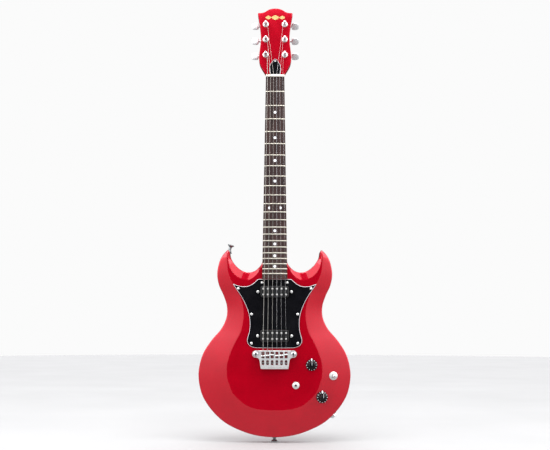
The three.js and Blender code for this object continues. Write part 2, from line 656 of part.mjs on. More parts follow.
/** The tuner's fixed parts: gearbox behind the headstock, sleeve through it, washer and nut in front. */
function buildTunerHousing(side) {
  const back = HEAD_THICKNESS + GAP;
  const gearBox = plate(roundedBox(16, 21, 3, 0, WORM_OFFSET / 2 - 0.6), back + 12, back, 1);
  const boss = roundX(3.5, side * 7.5, side * 11.6, 10).translate(0, WORM_DEPTH, WORM_OFFSET);
  const outside = join(
    gearBox,
    boss,
    roundY(SLEEVE_RADIUS, back + 1, -4.6, 10),
    roundY(7, -GAP, -1.6, 14),
    hexY(10, -1.5, -4.7),
  );
  return cut(
    outside,
    roundY(POST_RADIUS + GAP, back + 3, -6, 10),
    roundY(GEAR_RADIUS + GAP, WORM_DEPTH + 3, back + 2, 10),
    roundX(2.1, side * -5.5, side * 13, 8).translate(0, WORM_DEPTH, WORM_OFFSET),
  );
}
function buildTunerPost() {
  const waist = POST_RADIUS - 0.4;
  const gear = 2.2; // half its thickness
  return turned([
    [0, WORM_DEPTH + gear], [GEAR_RADIUS, WORM_DEPTH + gear], [GEAR_RADIUS, WORM_DEPTH - gear],
    [POST_RADIUS, WORM_DEPTH - gear], [POST_RADIUS, -4.8], [waist, -5.2], [waist, -8.6], [POST_RADIUS, -10.5],
    [POST_RADIUS, -POST_HEIGHT + 0.6], [POST_RADIUS - 0.7, -POST_HEIGHT], [0, -POST_HEIGHT],
  ], 10);
}
function buttonShape() {
  const [start, end] = [BUTTON_START, BUTTON_START + BUTTON_LENGTH];
  const half = BUTTON_HEIGHT / 2;
  const curve = smooth([
    [start, half * 0.62], [start + 2, half * 0.9], [start + 6.5, half], [end - 3.4, half * 0.72], [end, 0],
  ], 6);
  return [...curve, ...curve.slice(0, -1).reverse().map((p) => new THREE.Vector2(p.x, -p.y))];
}
function buildTunerButton(side) {
  const bevel = 1.6;
  const slim = buttonShape().map((p) => new THREE.Vector2(side * p.x, p.y));
  const button = new THREE.ExtrudeGeometry(new THREE.Shape(side < 0 ? slim.reverse() : slim), {
    depth: BUTTON_THICKNESS - 2 * bevel, bevelEnabled: true, bevelThickness: bevel, bevelSize: bevel,
    bevelOffset: -bevel, bevelSegments: 1,
  }).translate(0, 0, bevel - BUTTON_THICKNESS / 2).rotateX(Math.PI / 2);
  return join(
    button,
    roundX(1.6, side * -4.6, side * (BUTTON_START + 3), 8),
    roundX(2.7, side * 12, side * (BUTTON_START + 1), 8),
  );
}
function buildTuners() {
  return tunerPlaces.flatMap(({ number, side, x, up }) => {
    const housing = piece(`tuner_${number}_housing`, "chrome", buildTunerHousing(side));
    const post = piece(`tuner_${number}_post`, "chrome", buildTunerPost());
    const button = piece(`tuner_${number}_button`, "chrome", buildTunerButton(side));
    housing.position.set(x, 0, up);
    post.position.set(x, 0, up);
    button.position.set(x, WORM_DEPTH, up + WORM_OFFSET);
    button.rotation.x = radians(BUTTON_TURNS[number - 1]);
    return [housing, post, button];
  });
}

// ---------------------------------------------------------------- pickguard and pickups
function buildPickguard() {
  const half = [
    new THREE.Vector2(0, -BOARD_LENGTH - 0.7),
    ...PICKGUARD_SIDES.flatMap((run, i) => smooth(run.map(([x, down]) => [x, -down]), i ? 26 : 8)),
  ];
  const back = BODY_FRONT - GAP;
  const sheet = plate(mirroredShape(half), back, back - PICKGUARD_THICKNESS);
  const holes = PICKUPS.flatMap(({ at, height }) => [
    plate(roundedBox(PICKUP_WIDTH + 1, height + 1, 4.5, 0, -at), back + 1, back - 5, 2),
    ...[-1, 1].map((side) => roundY(1.9, back + 1, back - 5, 8).translate(side * HEIGHT_SCREW_X, 0, -at)),
  ]);
  return cut(sheet, ...holes);
}

/** Where the pole pieces of one pickup stand. */
function polePlaces(at) {
  return [-1, 1].flatMap((row) => STRING_DIAMETERS.map((_, i) => (
    [(i - 2.5) * POLE_PITCH, -at + (row * POLE_ROW_SPACING) / 2]
  )));
}
function buildPickupCover({ at, height, front }) {
  const back = front + PICKUP_DEPTH;
  const shell = plate(roundedBox(PICKUP_WIDTH, height, 4, 0, -at), back, front, 2);
  const hollow = plate(
    roundedBox(PICKUP_WIDTH - 2 * COVER_WALL, height - 2 * COVER_WALL, INNER_CORNER, 0, -at),
    back + 1, front + COVER_WALL, 2,
  );
  const holes = polePlaces(at).map(
    ([x, z]) => roundY(POLE_RADIUS + GAP, front + 3, front - 1, 6).translate(x, 0, z),
  );
  return cut(shell, hollow, ...holes);
}
function buildPickupCore({ at, height, front }) {
  const back = front + PICKUP_DEPTH;
  const inside = 2 * (COVER_WALL + GAP);
  const bobbins = plate(
    roundedBox(PICKUP_WIDTH - inside, height - inside, INNER_CORNER, 0, -at),
    back + 1, front + COVER_WALL + GAP + 0.4, 2,
  );
  const base = plate(roundedBox(PICKUP_EAR_SPAN, 14, 2, 0, -at), back + 2, back + GAP, 1);
  const poles = polePlaces(at).map(([x, z]) => (
    roundY(POLE_RADIUS, front + 6, front - POLE_PROUD, 6).translate(x, 0, z)
  ));
  const screwHoles = [-1, 1].map((side) => (
    roundY(1.9, back + 4, back - 2, 8).translate(side * HEIGHT_SCREW_X, 0, -at)
  ));
  return cut(join(bobbins, base, ...poles), ...screwHoles);
}
function buildHeightScrew({ at, front }, side) {
  const seat = BODY_FRONT - GAP - PICKGUARD_THICKNESS - GAP;
  const screw = turned([
    [0, front + PICKUP_DEPTH + 5.5], [1.5, front + PICKUP_DEPTH + 5],
    [1.5, seat], [3.4, seat], [3.4, seat - 0.8],
    [2.2, seat - 1.9], [0, seat - 2.1],
  ], 10);
  const slot = block([-0.45, seat - 3, -4], [0.45, seat - 1.1, 4]);
  return cut(screw, slot).translate([side * HEIGHT_SCREW_X, 0, -at]);
}

// ---------------------------------------------------------------- bridge
function bridgeShape() {
  const ear = new THREE.Vector2(STUD_SPACING / 2, -STUD_AT);
  const side = smooth(BRIDGE_SIDE.map(([x, down]) => [x, -down]), 6);
  const round = Array.from({ length: 9 }, (_, i) => {
    const angle = radians(-100 + i * 24.4);
    return new THREE.Vector2(ear.x + EAR_RADIUS * Math.cos(angle), ear.y + EAR_RADIUS * Math.sin(angle));
  });
  const start = new THREE.Vector2(0, -BRIDGE_BOTTOM_EDGE);
  return mirroredShape([start, ...side, ...round, new THREE.Vector2(0, -BRIDGE_TOP_EDGE)]);
}

/** Two rows of through windows and one row of string openings, one of each for every string. */
function bridgeOpenings() {
  const window = (x, from, to) => block([x - 3.3, -20, -to], [x + 3.3, 12, -from]);
  return STRING_DIAMETERS.flatMap((_, i) => {
    const x = stringX(i, BRIDGE_STRING_SPREAD);
    const saddle = SADDLE_ROWS[i];
    return [
      window(x, 629, saddle - SADDLE_WIDTH / 2),
      window(x, saddle + SADDLE_WIDTH / 2, 643.2),
      plate(roundedBox(5.6, 10.6, 2, x, -652.5), 12, -20, 2),
      block([x - 0.9, -20, -648], [x + 0.9, GROOVE_FLOOR, -642]),
    ];
  });
}
function buildBridge() {
  const casting = plate(bridgeShape(), -BRIDGE_BASE, -BRIDGE_TOP);
  const atStud = (side, tool) => tool.translate((side * STUD_SPACING) / 2, 0, -STUD_AT);
  const aboveEars = [-1, 1].map((side) => atStud(side, roundY(EAR_RADIUS + 1.2, -EAR_TOP, -20, 14)));
  const saddles = STRING_DIAMETERS.map((_, i) => {
    const x = stringX(i, BRIDGE_STRING_SPREAD);
    const top = -STRING_AT_SADDLE + crownDrop(x) + GAP;
    const [low, high] = [-SADDLE_ROWS[i] - SADDLE_WIDTH / 2, -SADDLE_ROWS[i] + SADDLE_WIDTH / 2];
    return block([x - 4, top, low], [x + 4, -BRIDGE_TOP + 1.5, high]);
  });
  const studHoles = [-1, 1].map((side) => atStud(side, roundY(3.3, 12, -20, 10)));
  return cut(join(cut(casting, ...aboveEars, ...bridgeOpenings()), ...saddles), ...studHoles);
}
function buildStud(side) {
  const [end, collar] = [BODY_FRONT + 15, BODY_FRONT - 0.9];
  const [underside, head] = [-BRIDGE_BASE + GAP, -EAR_TOP - GAP];
  const stud = turned([
    [0, end], [3.4, end], [3.4, collar], [5.2, collar],
    [5.2, underside], [2.9, underside], [2.9, head], [6, head],
    [6, head - 1.2], [4.4, head - 2.9], [0, head - 3.6],
  ], 12);
  const slot = block([-0.8, -20, -7], [0.8, head - 1.9, 7]);
  return cut(stud, slot).translate([(side * STUD_SPACING) / 2, 0, -STUD_AT]);
}
function buildStudBushing(side) {
  return turned([
    [3.7, BODY_FRONT + 17], [4.6, BODY_FRONT + 17], [4.6, BODY_FRONT - GAP], [5.9, BODY_FRONT - GAP],
    [5.9, BODY_FRONT - 0.7], [3.7, BODY_FRONT - 0.7], [3.7, BODY_FRONT + 17],
  ], 12).translate((side * STUD_SPACING) / 2, 0, -STUD_AT);
}

// ---------------------------------------------------------------- controls
function buildKnob() {
  const [rim, cap, top] = [KNOB_RADIUS, 7.6, -KNOB_HEIGHT + 0.4];
  const outside = turned([
    [0, -0.8], [rim, -0.8], [rim, -2], [rim - 1, -5], [cap + 1.2, -6.2], [cap, -8], [cap - 0.6, top + 0.8],
    [cap - 2, top], [0, top],
  ], 18);
  const ridge = block([-1.7, -KNOB_HEIGHT, -cap - 2.6], [1.7, -5, cap + 2.6]);
  const hollow = roundY(rim - 2.4, 1, -4, 14);
  return cut(join(outside, ridge), hollow, roundY(SHAFT_RADIUS + GAP, 0, -KNOB_HEIGHT + 3, 10));
}
function buildPot() {
  const back = CONTROL_WALL + GAP + 9;
  const lug = (x) => block([x - 1, back - 0.9, -17], [x + 1, back - 0.1, -10]);
  return cut(
    join(
      roundY(12, back, CONTROL_WALL + GAP, 14), roundY(3.8, CONTROL_WALL + 1, -2.6, 10), hexY(10, -GAP, -2.4),
      lug(-5), lug(0), lug(5),
    ),
    roundY(SHAFT_RADIUS + 0.25, back - 2, -4, 10),
  );
}
const buildShaft = () => roundY(SHAFT_RADIUS, CONTROL_WALL + 6.5, -KNOB_HEIGHT + 3.4, 10);

/** A toggle switch's fixed parts: case below the wood, threaded sleeve, and the ring nut on top. */
function buildSwitchCase({ washer, bushing, mouth, case: [width, height, depth] }) {
  const top = CONTROL_WALL + GAP;
  return cut(
    join(
      block([-width / 2, top, -height / 2], [width / 2, top + depth, height / 2]),
      roundY(bushing, top + 1, -2.8, 12),
      turned([[0, -GAP], [washer, -GAP], [washer, -1.2], [washer - 1.2, -2.2], [0, -2.2]], 16),
    ),
    roundY(mouth, top + depth - 3, -4, 10),
  );
}
const LEVER_PIVOT = 3.2; // middle of the ball a lever tilts on, behind the body's front
function buildLever({ stem, tip, reach, mouth }) {
  const ball = mouth - 2 * GAP;
  return turned([
    [0, 7.5], [stem, 7.5], [ball * 0.8, 5.2], [ball, LEVER_PIVOT], [ball * 0.75, 1.4], [stem, 0.2],
    [stem, -reach * 0.42], [tip * 0.75, -reach * 0.46], [tip, -reach * 0.8], [tip * 0.85, -reach * 0.93],
    [tip * 0.4, -reach], [0, -reach - 0.1],
  ], 10);
}

function buildJack() {
  return cut(
    join(roundY(5.5, 24, -1, 12), roundY(7.9, -0.5, -1.6, 14), hexY(12.4, -1.5, -3.8)),
    roundY(3.3, 25, -5, 10),
  );
}
function buildStrapButton(height, seat) {
  const [flange, top] = [STRAP_BUTTON_RADIUS, -height];
  return turned([
    [0, 14], [1.2, 12], [1.9, 9], [1.9, -seat], [5.5, -seat], [5.3, -seat - 1.3],
    [3.2, 0.4 * top], [3, top + 5.5],
    [flange - 1, top + 2.6], [flange, top + 1.8], [flange, top + 0.7], [flange - 1, top], [0, top],
  ], 12);
}
const buildFelt = () => cut(roundY(7, -GAP, -1.6, 12), roundY(2.3, 1, -3, 8));

function buildControls() {
  const groups = KNOBS.map((place) => groupIn(
    controlFrame(place),
    piece(`${place.name}_knob`, "black_plastic", buildKnob()),
    piece(`${place.name}_shaft`, "brass", buildShaft()),
    piece(`${place.name}_pot`, "steel", buildPot()),
  ));
  for (const place of SWITCHES) {
    groups.push(groupIn(
      controlFrame(place),
      piece(`${place.name}_case`, "chrome", buildSwitchCase(place)),
      piece(`${place.name}_lever`, "chrome", buildLever(place)),
    ));
  }
  return groups;
}

// ---------------------------------------------------------------- assembly
const guitar = new THREE.Group();

guitar.add(
  piece("body", "red_lacquer", buildBody()),
  piece("neck", "red_lacquer", buildNeck()),
  piece("fingerboard", "rosewood", buildFingerboard()),
  piece("nut", "bone", buildNut()),
  piece("truss_rod", "steel", buildTrussRod()),
  piece("pickguard", "black_plastic", buildPickguard()),
  piece(
    "control_cover", "black_plastic",
    plate(cavityShape(COVER_RIM), bodyBack, bodyBack - COVER_THICKNESS),
  ),
  piece("bridge", "cast_aluminium", buildBridge()),
);
STRING_DIAMETERS.forEach((_, i) => guitar.add(piece(`string_${i + 1}`, "steel", buildString(i))));
for (const pickup of PICKUPS) {
  guitar.add(piece(`${pickup.name}_pickup_cover`, "grey_plastic", buildPickupCover(pickup)));
  guitar.add(piece(`${pickup.name}_pickup_core`, "steel", buildPickupCore(pickup)));
  guitar.add(piece(`${pickup.name}_height_screw_left`, "chrome", buildHeightScrew(pickup, -1)));
  guitar.add(piece(`${pickup.name}_height_screw_right`, "chrome", buildHeightScrew(pickup, 1)));
}
for (const [name, side] of [["left", -1], ["right", 1]]) {
  guitar.add(piece(`bridge_stud_${name}`, "chrome", buildStud(side)));
  guitar.add(piece(`bridge_bushing_${name}`, "chrome", buildStudBushing(side)));
}
guitar.add(
  groupIn(
    headstockFrame,
    ...buildTuners(),
    piece("truss_rod_cover", "black_plastic", buildTrussCover()),
    piece("truss_cover_screw", "chrome", buildCoverScrew()),
  ),
  ...buildControls(),
  groupIn(jackFrame, piece("output_jack", "chrome", buildJack())),
  groupIn(
    hornFrame,
    piece("strap_button_upper", "chrome", buildStrapButton(UPPER_BUTTON_HEIGHT, 1.9)),
    piece("strap_felt", "felt", buildFelt()),
  ),
  groupIn(endFrame, piece("strap_button_end", "chrome", buildStrapButton(END_BUTTON_HEIGHT, GAP))),
);

export default guitar;
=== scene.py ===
# %% [markdown]
# # A red solid-body electric guitar
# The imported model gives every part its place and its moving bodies. This lesson gives each part its finished
# surface: lacquer that mirrors the room, polished metal, black plastic with a white edge, and rosewood. Lengths are
# thought of in millimetres, as a guitar maker would, and turned to metres when a piece is finished.

import json
import math
import bmesh
import bpy
from mathutils import Matrix, Vector

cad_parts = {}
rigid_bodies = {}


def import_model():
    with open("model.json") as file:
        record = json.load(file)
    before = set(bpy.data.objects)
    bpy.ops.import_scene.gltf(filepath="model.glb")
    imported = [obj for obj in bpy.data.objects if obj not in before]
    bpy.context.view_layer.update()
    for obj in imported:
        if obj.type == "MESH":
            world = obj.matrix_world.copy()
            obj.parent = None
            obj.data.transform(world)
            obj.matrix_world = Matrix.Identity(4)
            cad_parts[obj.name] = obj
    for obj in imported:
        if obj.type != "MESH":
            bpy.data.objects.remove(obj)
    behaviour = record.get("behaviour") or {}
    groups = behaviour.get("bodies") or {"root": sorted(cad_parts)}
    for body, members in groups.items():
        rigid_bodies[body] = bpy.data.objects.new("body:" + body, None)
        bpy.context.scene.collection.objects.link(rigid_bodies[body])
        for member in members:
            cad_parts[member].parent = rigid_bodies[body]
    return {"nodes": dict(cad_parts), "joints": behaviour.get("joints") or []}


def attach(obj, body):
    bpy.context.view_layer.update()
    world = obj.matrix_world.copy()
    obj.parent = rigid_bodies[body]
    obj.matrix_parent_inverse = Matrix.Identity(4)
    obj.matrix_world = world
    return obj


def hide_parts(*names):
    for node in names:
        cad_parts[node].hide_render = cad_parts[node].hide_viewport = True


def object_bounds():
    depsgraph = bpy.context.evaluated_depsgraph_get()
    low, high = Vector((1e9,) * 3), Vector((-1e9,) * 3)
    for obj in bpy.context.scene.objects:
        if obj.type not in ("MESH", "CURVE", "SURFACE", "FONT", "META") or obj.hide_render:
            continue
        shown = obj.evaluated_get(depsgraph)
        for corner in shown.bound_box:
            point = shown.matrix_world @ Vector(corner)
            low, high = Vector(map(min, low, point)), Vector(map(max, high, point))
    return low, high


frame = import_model()
cad_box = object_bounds()

# %% [markdown]
# ## Helpers
# A few small helpers carry the whole lesson. `keep` turns a finished bmesh into an object: it welds doubles, scales
# millimetres to metres, smooths the shading between faces that meet gently and hangs the piece on a moving body.
# `carve` cuts real holes with the Boolean modifier, which is easier to read than cutting faces by hand, and `place`
# and `merged` turn, move and join what the shapes below make.

# %% Helpers for meshes
MM = 0.001
GENTLE = math.radians(32)


def keep(name, bm, finishes, body="guitar", replaces=(), weld=0.002, gentle=GENTLE):
    """Turn a bmesh in millimetres into a finished piece that rides on a body."""
    if weld:
        bmesh.ops.remove_doubles(bm, verts=bm.verts, dist=weld)
    bmesh.ops.recalc_face_normals(bm, faces=bm.faces)
    bmesh.ops.scale(bm, vec=(MM, MM, MM), verts=bm.verts)
    mesh = bpy.data.meshes.new(name)
    bm.to_mesh(mesh)
    bm.free()
    for layer in finishes if isinstance(finishes, (list, tuple)) else [finishes]:
        mesh.materials.append(layer)
    piece = bpy.data.objects.new(name, mesh)
    bpy.context.scene.collection.objects.link(piece)
    shade(piece, gentle)
    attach(piece, body)
    if replaces:
        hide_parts(*replaces)
    return piece


def shade(piece, gentle=GENTLE):
    """Smooth shading, with a hard edge wherever two faces meet more sharply than the given angle."""
    piece.data.polygons.foreach_set("use_smooth", [True] * len(piece.data.polygons))
    piece.data.set_sharp_from_angle(angle=gentle)


def cutter(bm):
    """A bmesh in millimetres as a loose object that only cuts."""
    bmesh.ops.recalc_face_normals(bm, faces=bm.faces)
    bmesh.ops.scale(bm, vec=(MM, MM, MM), verts=bm.verts)
    mesh = bpy.data.meshes.new("cutter")
    bm.to_mesh(mesh)
    bm.free()
    tool = bpy.data.objects.new("cutter", mesh)
    bpy.context.scene.collection.objects.link(tool)
    return tool


def carve(piece, tools, gentle=GENTLE):
    """Cut the tools out of a piece for good, then throw the tools away."""
    objects = [cutter(bm) for bm in tools]
    for tool in objects:
        cut = piece.modifiers.new("cut", "BOOLEAN")
        cut.operation = "DIFFERENCE"
        cut.solver = "EXACT"
        cut.object = tool
    bpy.context.view_layer.update()
    evaluated = piece.evaluated_get(bpy.context.evaluated_depsgraph_get())
    mesh = bpy.data.meshes.new_from_object(evaluated)
    piece.modifiers.clear()
    old, piece.data = piece.data, mesh
    bpy.data.meshes.remove(old)
    for tool in objects:
        bpy.data.objects.remove(tool)
    piece.data.name = piece.name
    shade(piece, gentle)
    return piece


def place(bm, turn=None, at=(0, 0, 0)):
    """Turn a bmesh by a matrix, then move it."""
    matrix = Matrix.Translation(Vector(at)) @ (turn.to_4x4() if turn else Matrix.Identity(4))
    bmesh.ops.transform(bm, matrix=matrix, verts=bm.verts)
    return bm


def merged(*parts):
    """Several bmeshes as one."""
    whole = bmesh.new()
    for part in parts:
        mesh = bpy.data.meshes.new("part")
        part.to_mesh(mesh)
        part.free()
        whole.from_mesh(mesh)
        bpy.data.meshes.remove(mesh)
    return whole


print("one millimetre is", MM, "units")

# %% [markdown]
# Most hardware on a guitar is either turned on a lathe or cut from sheet. `turned` spins a profile round the -Y axis,
# the direction that faces the player's audience, and `sheet` gives thickness to a flat outline. `rounded` softens a
# profile before it is turned, because no real edge is perfectly sharp.

# %% Turned and flat shapes
def turned(profile, steps=48):
    """Spin (radius, depth) pairs round the Y axis. Depth counts towards the back."""
    bm = bmesh.new()
    verts = [bm.verts.new((r, y, 0)) for r, y in profile]
    edges = [bm.edges.new(pair) for pair in zip(verts, verts[1:])]
    bmesh.ops.spin(bm, geom=verts + edges, cent=(0, 0, 0), axis=(0, 1, 0), angle=2 * math.pi, steps=steps,
                   use_merge=True)
    bmesh.ops.remove_doubles(bm, verts=bm.verts, dist=0.001)
    return bm


def rounded(profile, radius=0.4, segments=3):
    """A profile with each inner corner replaced by a small arc of about the given radius."""
    points = [Vector(p) for p in profile]
    result = [points[0]]
    for before, corner, after in zip(points, points[1:], points[2:]):
        to_before, to_after = before - corner, after - corner
        reach = min(radius, to_before.length * 0.45, to_after.length * 0.45)
        start, end = corner + to_before.normalized() * reach, corner + to_after.normalized() * reach
        for i in range(segments + 1):
            t = i / segments
            result.append(start.lerp(corner, t).lerp(corner.lerp(end, t), t))
    return [tuple(p) for p in result + [points[-1]]]


def sheet(outline, front, back, edge=0.0, segments=3, edge_material=-1, back_edge=False):
    """A flat outline in X and Z, from its front depth to its back depth, with the front rim rounded."""
    bm = bmesh.new()
    face = bm.faces.new([bm.verts.new((x, front, z)) for x, z in outline])
    grown = bmesh.ops.extrude_face_region(bm, geom=[face], use_keep_orig=True)
    moved = [v for v in grown["geom"] if isinstance(v, bmesh.types.BMVert)]
    bmesh.ops.translate(bm, vec=(0, back - front, 0), verts=moved)
    bmesh.ops.recalc_face_normals(bm, faces=bm.faces)
    if edge:
        depths = [front, back] if back_edge else [front]
        rim = [e for e in bm.edges if any(all(abs(v.co.y - d) < 1e-6 for v in e.verts) for d in depths)]
        bmesh.ops.bevel(bm, geom=rim, offset=edge, offset_type="OFFSET", affect="EDGES", segments=segments,
                        profile=0.5, material=edge_material, clamp_overlap=True)
    return bm

print("a turned washer has", len(turned([(3, 0), (7, 0), (7, 1), (3, 1), (3, 0)]).faces), "faces")

# %% [markdown]
# A box and a rod need no outline. `bar` starts from a cube and bevels all its edges, and `rod` is a cone whose two
# radii are equal, turned to run from one point to another.

# %% Bars and rods
def bar(low, high, edge=0.0, segments=2):
    """A box between two corners, with broken edges."""
    size = [b - a for a, b in zip(low, high)]
    middle = [(a + b) / 2 for a, b in zip(low, high)]
    bm = bmesh.new()
    bmesh.ops.create_cube(bm, size=1, matrix=Matrix.Translation(middle) @ Matrix.Diagonal((*size, 1)))
    if edge:
        bmesh.ops.bevel(bm, geom=bm.edges[:], offset=edge, offset_type="OFFSET", affect="EDGES", segments=segments,
                        profile=0.5, material=-1)
    return bm


def rod(start, end, radius, sides=24, end_radius=None):
    """A round rod between two points."""
    start, end = Vector(start), Vector(end)
    along = end - start
    bm = bmesh.new()
    turn = along.to_track_quat("Z", "Y").to_matrix().to_4x4()
    bmesh.ops.create_cone(bm, cap_ends=True, segments=sides, radius1=radius,
                          radius2=radius if end_radius is None else end_radius, depth=along.length,
                          matrix=Matrix.Translation((start + end) / 2) @ turn)
    return bm

print("a broken-edged box has", len(bar((0, 0, 0), (5, 5, 5), 0.5).faces), "faces")

# %% [markdown]
# Wire and wood both grow ring by ring. `swept` moves one circle along a path, as a string needs, and `lofted` gives
# every ring its own shape, as the neck and the body need. Extruding edge by edge keeps the rings' points in line.

# %% Wires and skins
def swept(path, radius, sides):
    """A round wire along a path: a filled circle, whose rim is extruded and turned at each point of the path."""
    points = [Vector(p) for p in path]
    bm = bmesh.new()
    heading = (points[1] - points[0]).normalized()
    turn = heading.to_track_quat("Z", "Y").to_matrix()
    ring = bmesh.ops.create_circle(bm, segments=sides, radius=radius,
                                   matrix=Matrix.Translation(points[0]) @ turn.to_4x4())["verts"]
    bmesh.ops.contextual_create(bm, geom=ring)
    edges = [e for e in bm.edges if all(v in ring for v in e.verts)]
    for i in range(1, len(points)):
        ahead = (points[min(i + 1, len(points) - 1)] - points[i - 1]).normalized()
        swing = heading.rotation_difference(ahead).to_matrix().to_4x4()
        grown = bmesh.ops.extrude_edge_only(bm, edges=edges)["geom"]
        ring = [v for v in grown if isinstance(v, bmesh.types.BMVert)]
        edges = [e for e in grown if isinstance(e, bmesh.types.BMEdge) and all(v in ring for v in e.verts)]
        bmesh.ops.transform(bm, verts=ring, matrix=Matrix.Translation(points[i]) @ swing
                            @ Matrix.Translation(-points[i - 1]))
        heading = ahead
    bmesh.ops.contextual_create(bm, geom=ring)
    return bm


def lofted(rings):
    """A closed skin: the first ring of points is filled, then extruded from ring to ring, and the last is filled."""
    bm = bmesh.new()
    ring = [bm.verts.new(p) for p in rings[0]]
    edges = [bm.edges.new((ring[i], ring[(i + 1) % len(ring)])) for i in range(len(ring))]
    bmesh.ops.contextual_create(bm, geom=edges)
    for places in rings[1:]:
        order = {v.co.copy().freeze(): i for i, v in enumerate(ring)}
        grown = bmesh.ops.extrude_edge_only(bm, edges=edges)["geom"]
        fresh = [v for v in grown if isinstance(v, bmesh.types.BMVert)]
        ring = sorted(fresh, key=lambda v: order[v.co.copy().freeze()])
        members = set(ring)
        edges = [e for e in grown if isinstance(e, bmesh.types.BMEdge) and members.issuperset(e.verts)]
        for vert, spot in zip(ring, places):
            vert.co = spot
    bmesh.ops.contextual_create(bm, geom=edges)
    return bm

print("a wire of two steps has", len(swept([(0, 0, 0), (0, 0, 1), (0, 0, 2)], 1, 8).faces), "faces")

# %% [markdown]
# Outlines come from a few points. `round_corners` puts an arc in each corner, `smooth_line` draws a curve through
# points as a bent spline would lie, and `both_sides` mirrors half an outline, because a guitar is drawn that way.

# %% Outlines
def round_corners(corners, radius, steps=6):
    """The outline of a polygon whose corners are arcs of one radius."""
    outline = []
    count = len(corners)
    for i in range(count):
        before, here, after = (Vector(corners[(i + k) % count]) for k in (-1, 0, 1))
        a, b = (before - here).normalized(), (after - here).normalized()
        half = a.angle(b) / 2
        reach = radius / math.tan(half)
        centre = here + (a + b).normalized() * (radius / math.sin(half))
        start, end = here + a * reach - centre, here + b * reach - centre
        for k in range(steps + 1):
            spot = start.normalized().slerp(end.normalized(), k / steps) * radius
            outline.append(tuple(centre + spot))
    return outline


def box_outline(width, height, radius, x=0, z=0, steps=6):
    """The outline of a rectangle with round corners about a centre."""
    w, h = width / 2, height / 2
    return round_corners([(x - w, z - h), (x + w, z - h), (x + w, z + h), (x - w, z + h)], radius, steps)


def smooth_line(points, per_span):
    """A curve through the given points, with the tangent at each point along its two neighbours."""
    last = len(points) - 1
    result = []
    for i in range(last):
        p0, p1, p2, p3 = (points[min(max(k, 0), last)] for k in (i - 1, i, i + 1, i + 2))
        for k in range(per_span):
            t = k / per_span
            result.append(tuple(
                0.5 * (2 * b + (c - a) * t + (2 * a - 5 * b + 4 * c - d) * t * t + (3 * b - a - 3 * c + d) * t ** 3)
                for a, b, c, d in zip(p0, p1, p2, p3)
            ))
    return result + [tuple(points[-1])]


def both_sides(half):
    """A closed outline from its right half, which starts and ends near the centre line."""
    return list(half) + [(-x, z) for x, z in reversed(half) if abs(x) > 1e-6]


print("a box outline with round corners has", len(box_outline(10, 5, 1)), "points")

# %% [markdown]
# ## Finishes
# Each finish starts from the real material: what it is, how its surface was made and what that does to light. Colours
# are picked in sRGB, as on a paint chart, and turned to linear light. `add` puts one node in the tree. Patterns read
# Object coordinates, which are metres on the real guitar, so a grain 1.2 mm wide has a scale of METRE / 1.2.

# %% Helpers for materials
METRE = 1000.0


def linear(code):
    """An sRGB hex colour as linear RGBA."""
    channels = [int(code[i:i + 2], 16) / 255 for i in (1, 3, 5)]
    return tuple(c / 12.92 if c <= 0.04045 else ((c + 0.055) / 1.055) ** 2.4 for c in channels) + (1.0,)


def add(tree, kind, links=None, stops=(), **settings):
    """Add a node. Settings name its attributes or its inputs, links join an input to another node's output, and
    stops are the (position, colour or grey) pairs of a colour ramp."""
    node = tree.nodes.new(kind)
    for key, value in settings.items():
        if hasattr(node, key):
            setattr(node, key, value)
        else:
            node.inputs[key.replace("_", " ")].default_value = value
    for socket, source in (links or {}).items():
        tree.links.new(source, node.inputs[socket])
    if stops:
        elements = node.color_ramp.elements
        while len(elements) < len(stops):
            elements.new(0.5)
        for element, (position, value) in zip(elements, stops):
            element.position = position
            element.color = linear(value) if isinstance(value, str) else (value, value, value, 1)
    return node


def finish(name, **values):
    """A new material with one Principled shader. Returns the material, its node tree and the shader."""
    material = bpy.data.materials.new(name)
    material.use_nodes = True
    tree = material.node_tree
    shader = tree.nodes["Principled BSDF"]
    for key, value in values.items():
        shader.inputs[key.replace("_", " ")].default_value = value
    return material, tree, shader


print("cherry red in linear light:", [round(channel, 3) for channel in linear("#920010")[:3]])

# %% [markdown]
# **Red lacquer.** The body and neck are sprayed with opaque cherry red and then many coats of clear nitrocellulose
# lacquer, sanded flat and buffed. A clear coat with almost no roughness lies over a softer coloured base, which gives
# that depth. The pigment layer mirrors too, and its mirror is red: the high IOR and the red specular tint are what
# turn the sloping rim a lighter red where it faces the bright room. What betrays real lacquer is a hint of orange
# peel, about 4 mm from hump to hump and microns deep, and a colour that drifts a little over a hand's width.

# %% Red lacquer
def make_red_lacquer():
    """Cherry red under clear lacquer, with orange peel."""
    material, tree, shader = finish("nitrocellulose_lacquer_cherry_red", Roughness=0.26, IOR=1.9,
                                    Specular_IOR_Level=1.0, Specular_Tint=linear("#ff2046"), Coat_Weight=1.0,
                                    Coat_Roughness=0.035, Coat_IOR=1.5)
    where = add(tree, "ShaderNodeTexCoord").outputs["Object"]
    depth = add(tree, "ShaderNodeTexNoise", {"Vector": where}, Scale=METRE / 38, Detail=3.0)
    red = add(tree, "ShaderNodeValToRGB", {"Fac": depth.outputs["Fac"]}, [(0.3, "#920010"), (0.7, "#9c0013")])
    peel = add(tree, "ShaderNodeTexNoise", {"Vector": where}, Scale=METRE / 4.2, Detail=1.0)
    bump = add(tree, "ShaderNodeBump", {"Height": peel.outputs["Fac"]}, Strength=0.5, Distance=0.006 * MM)
    tree.links.new(red.outputs["Color"], shader.inputs["Base Color"])
    tree.links.new(bump.outputs["Normal"], shader.inputs["Normal"])
    return material


red_lacquer = make_red_lacquer()
print(red_lacquer.name)

# %% [markdown]
# **Rosewood.** The fingerboard is open-pored wood, oiled and not varnished. Its colour runs from chocolate to nearly
# black in streaks 5 mm wide along the neck, and dark pores, 0.2 mm wide and ten times as long, dent it. Noise that is
# drawn out along Z makes the streaks, and a finer one makes the pores, drawn 0.6 mm wide so that they show.

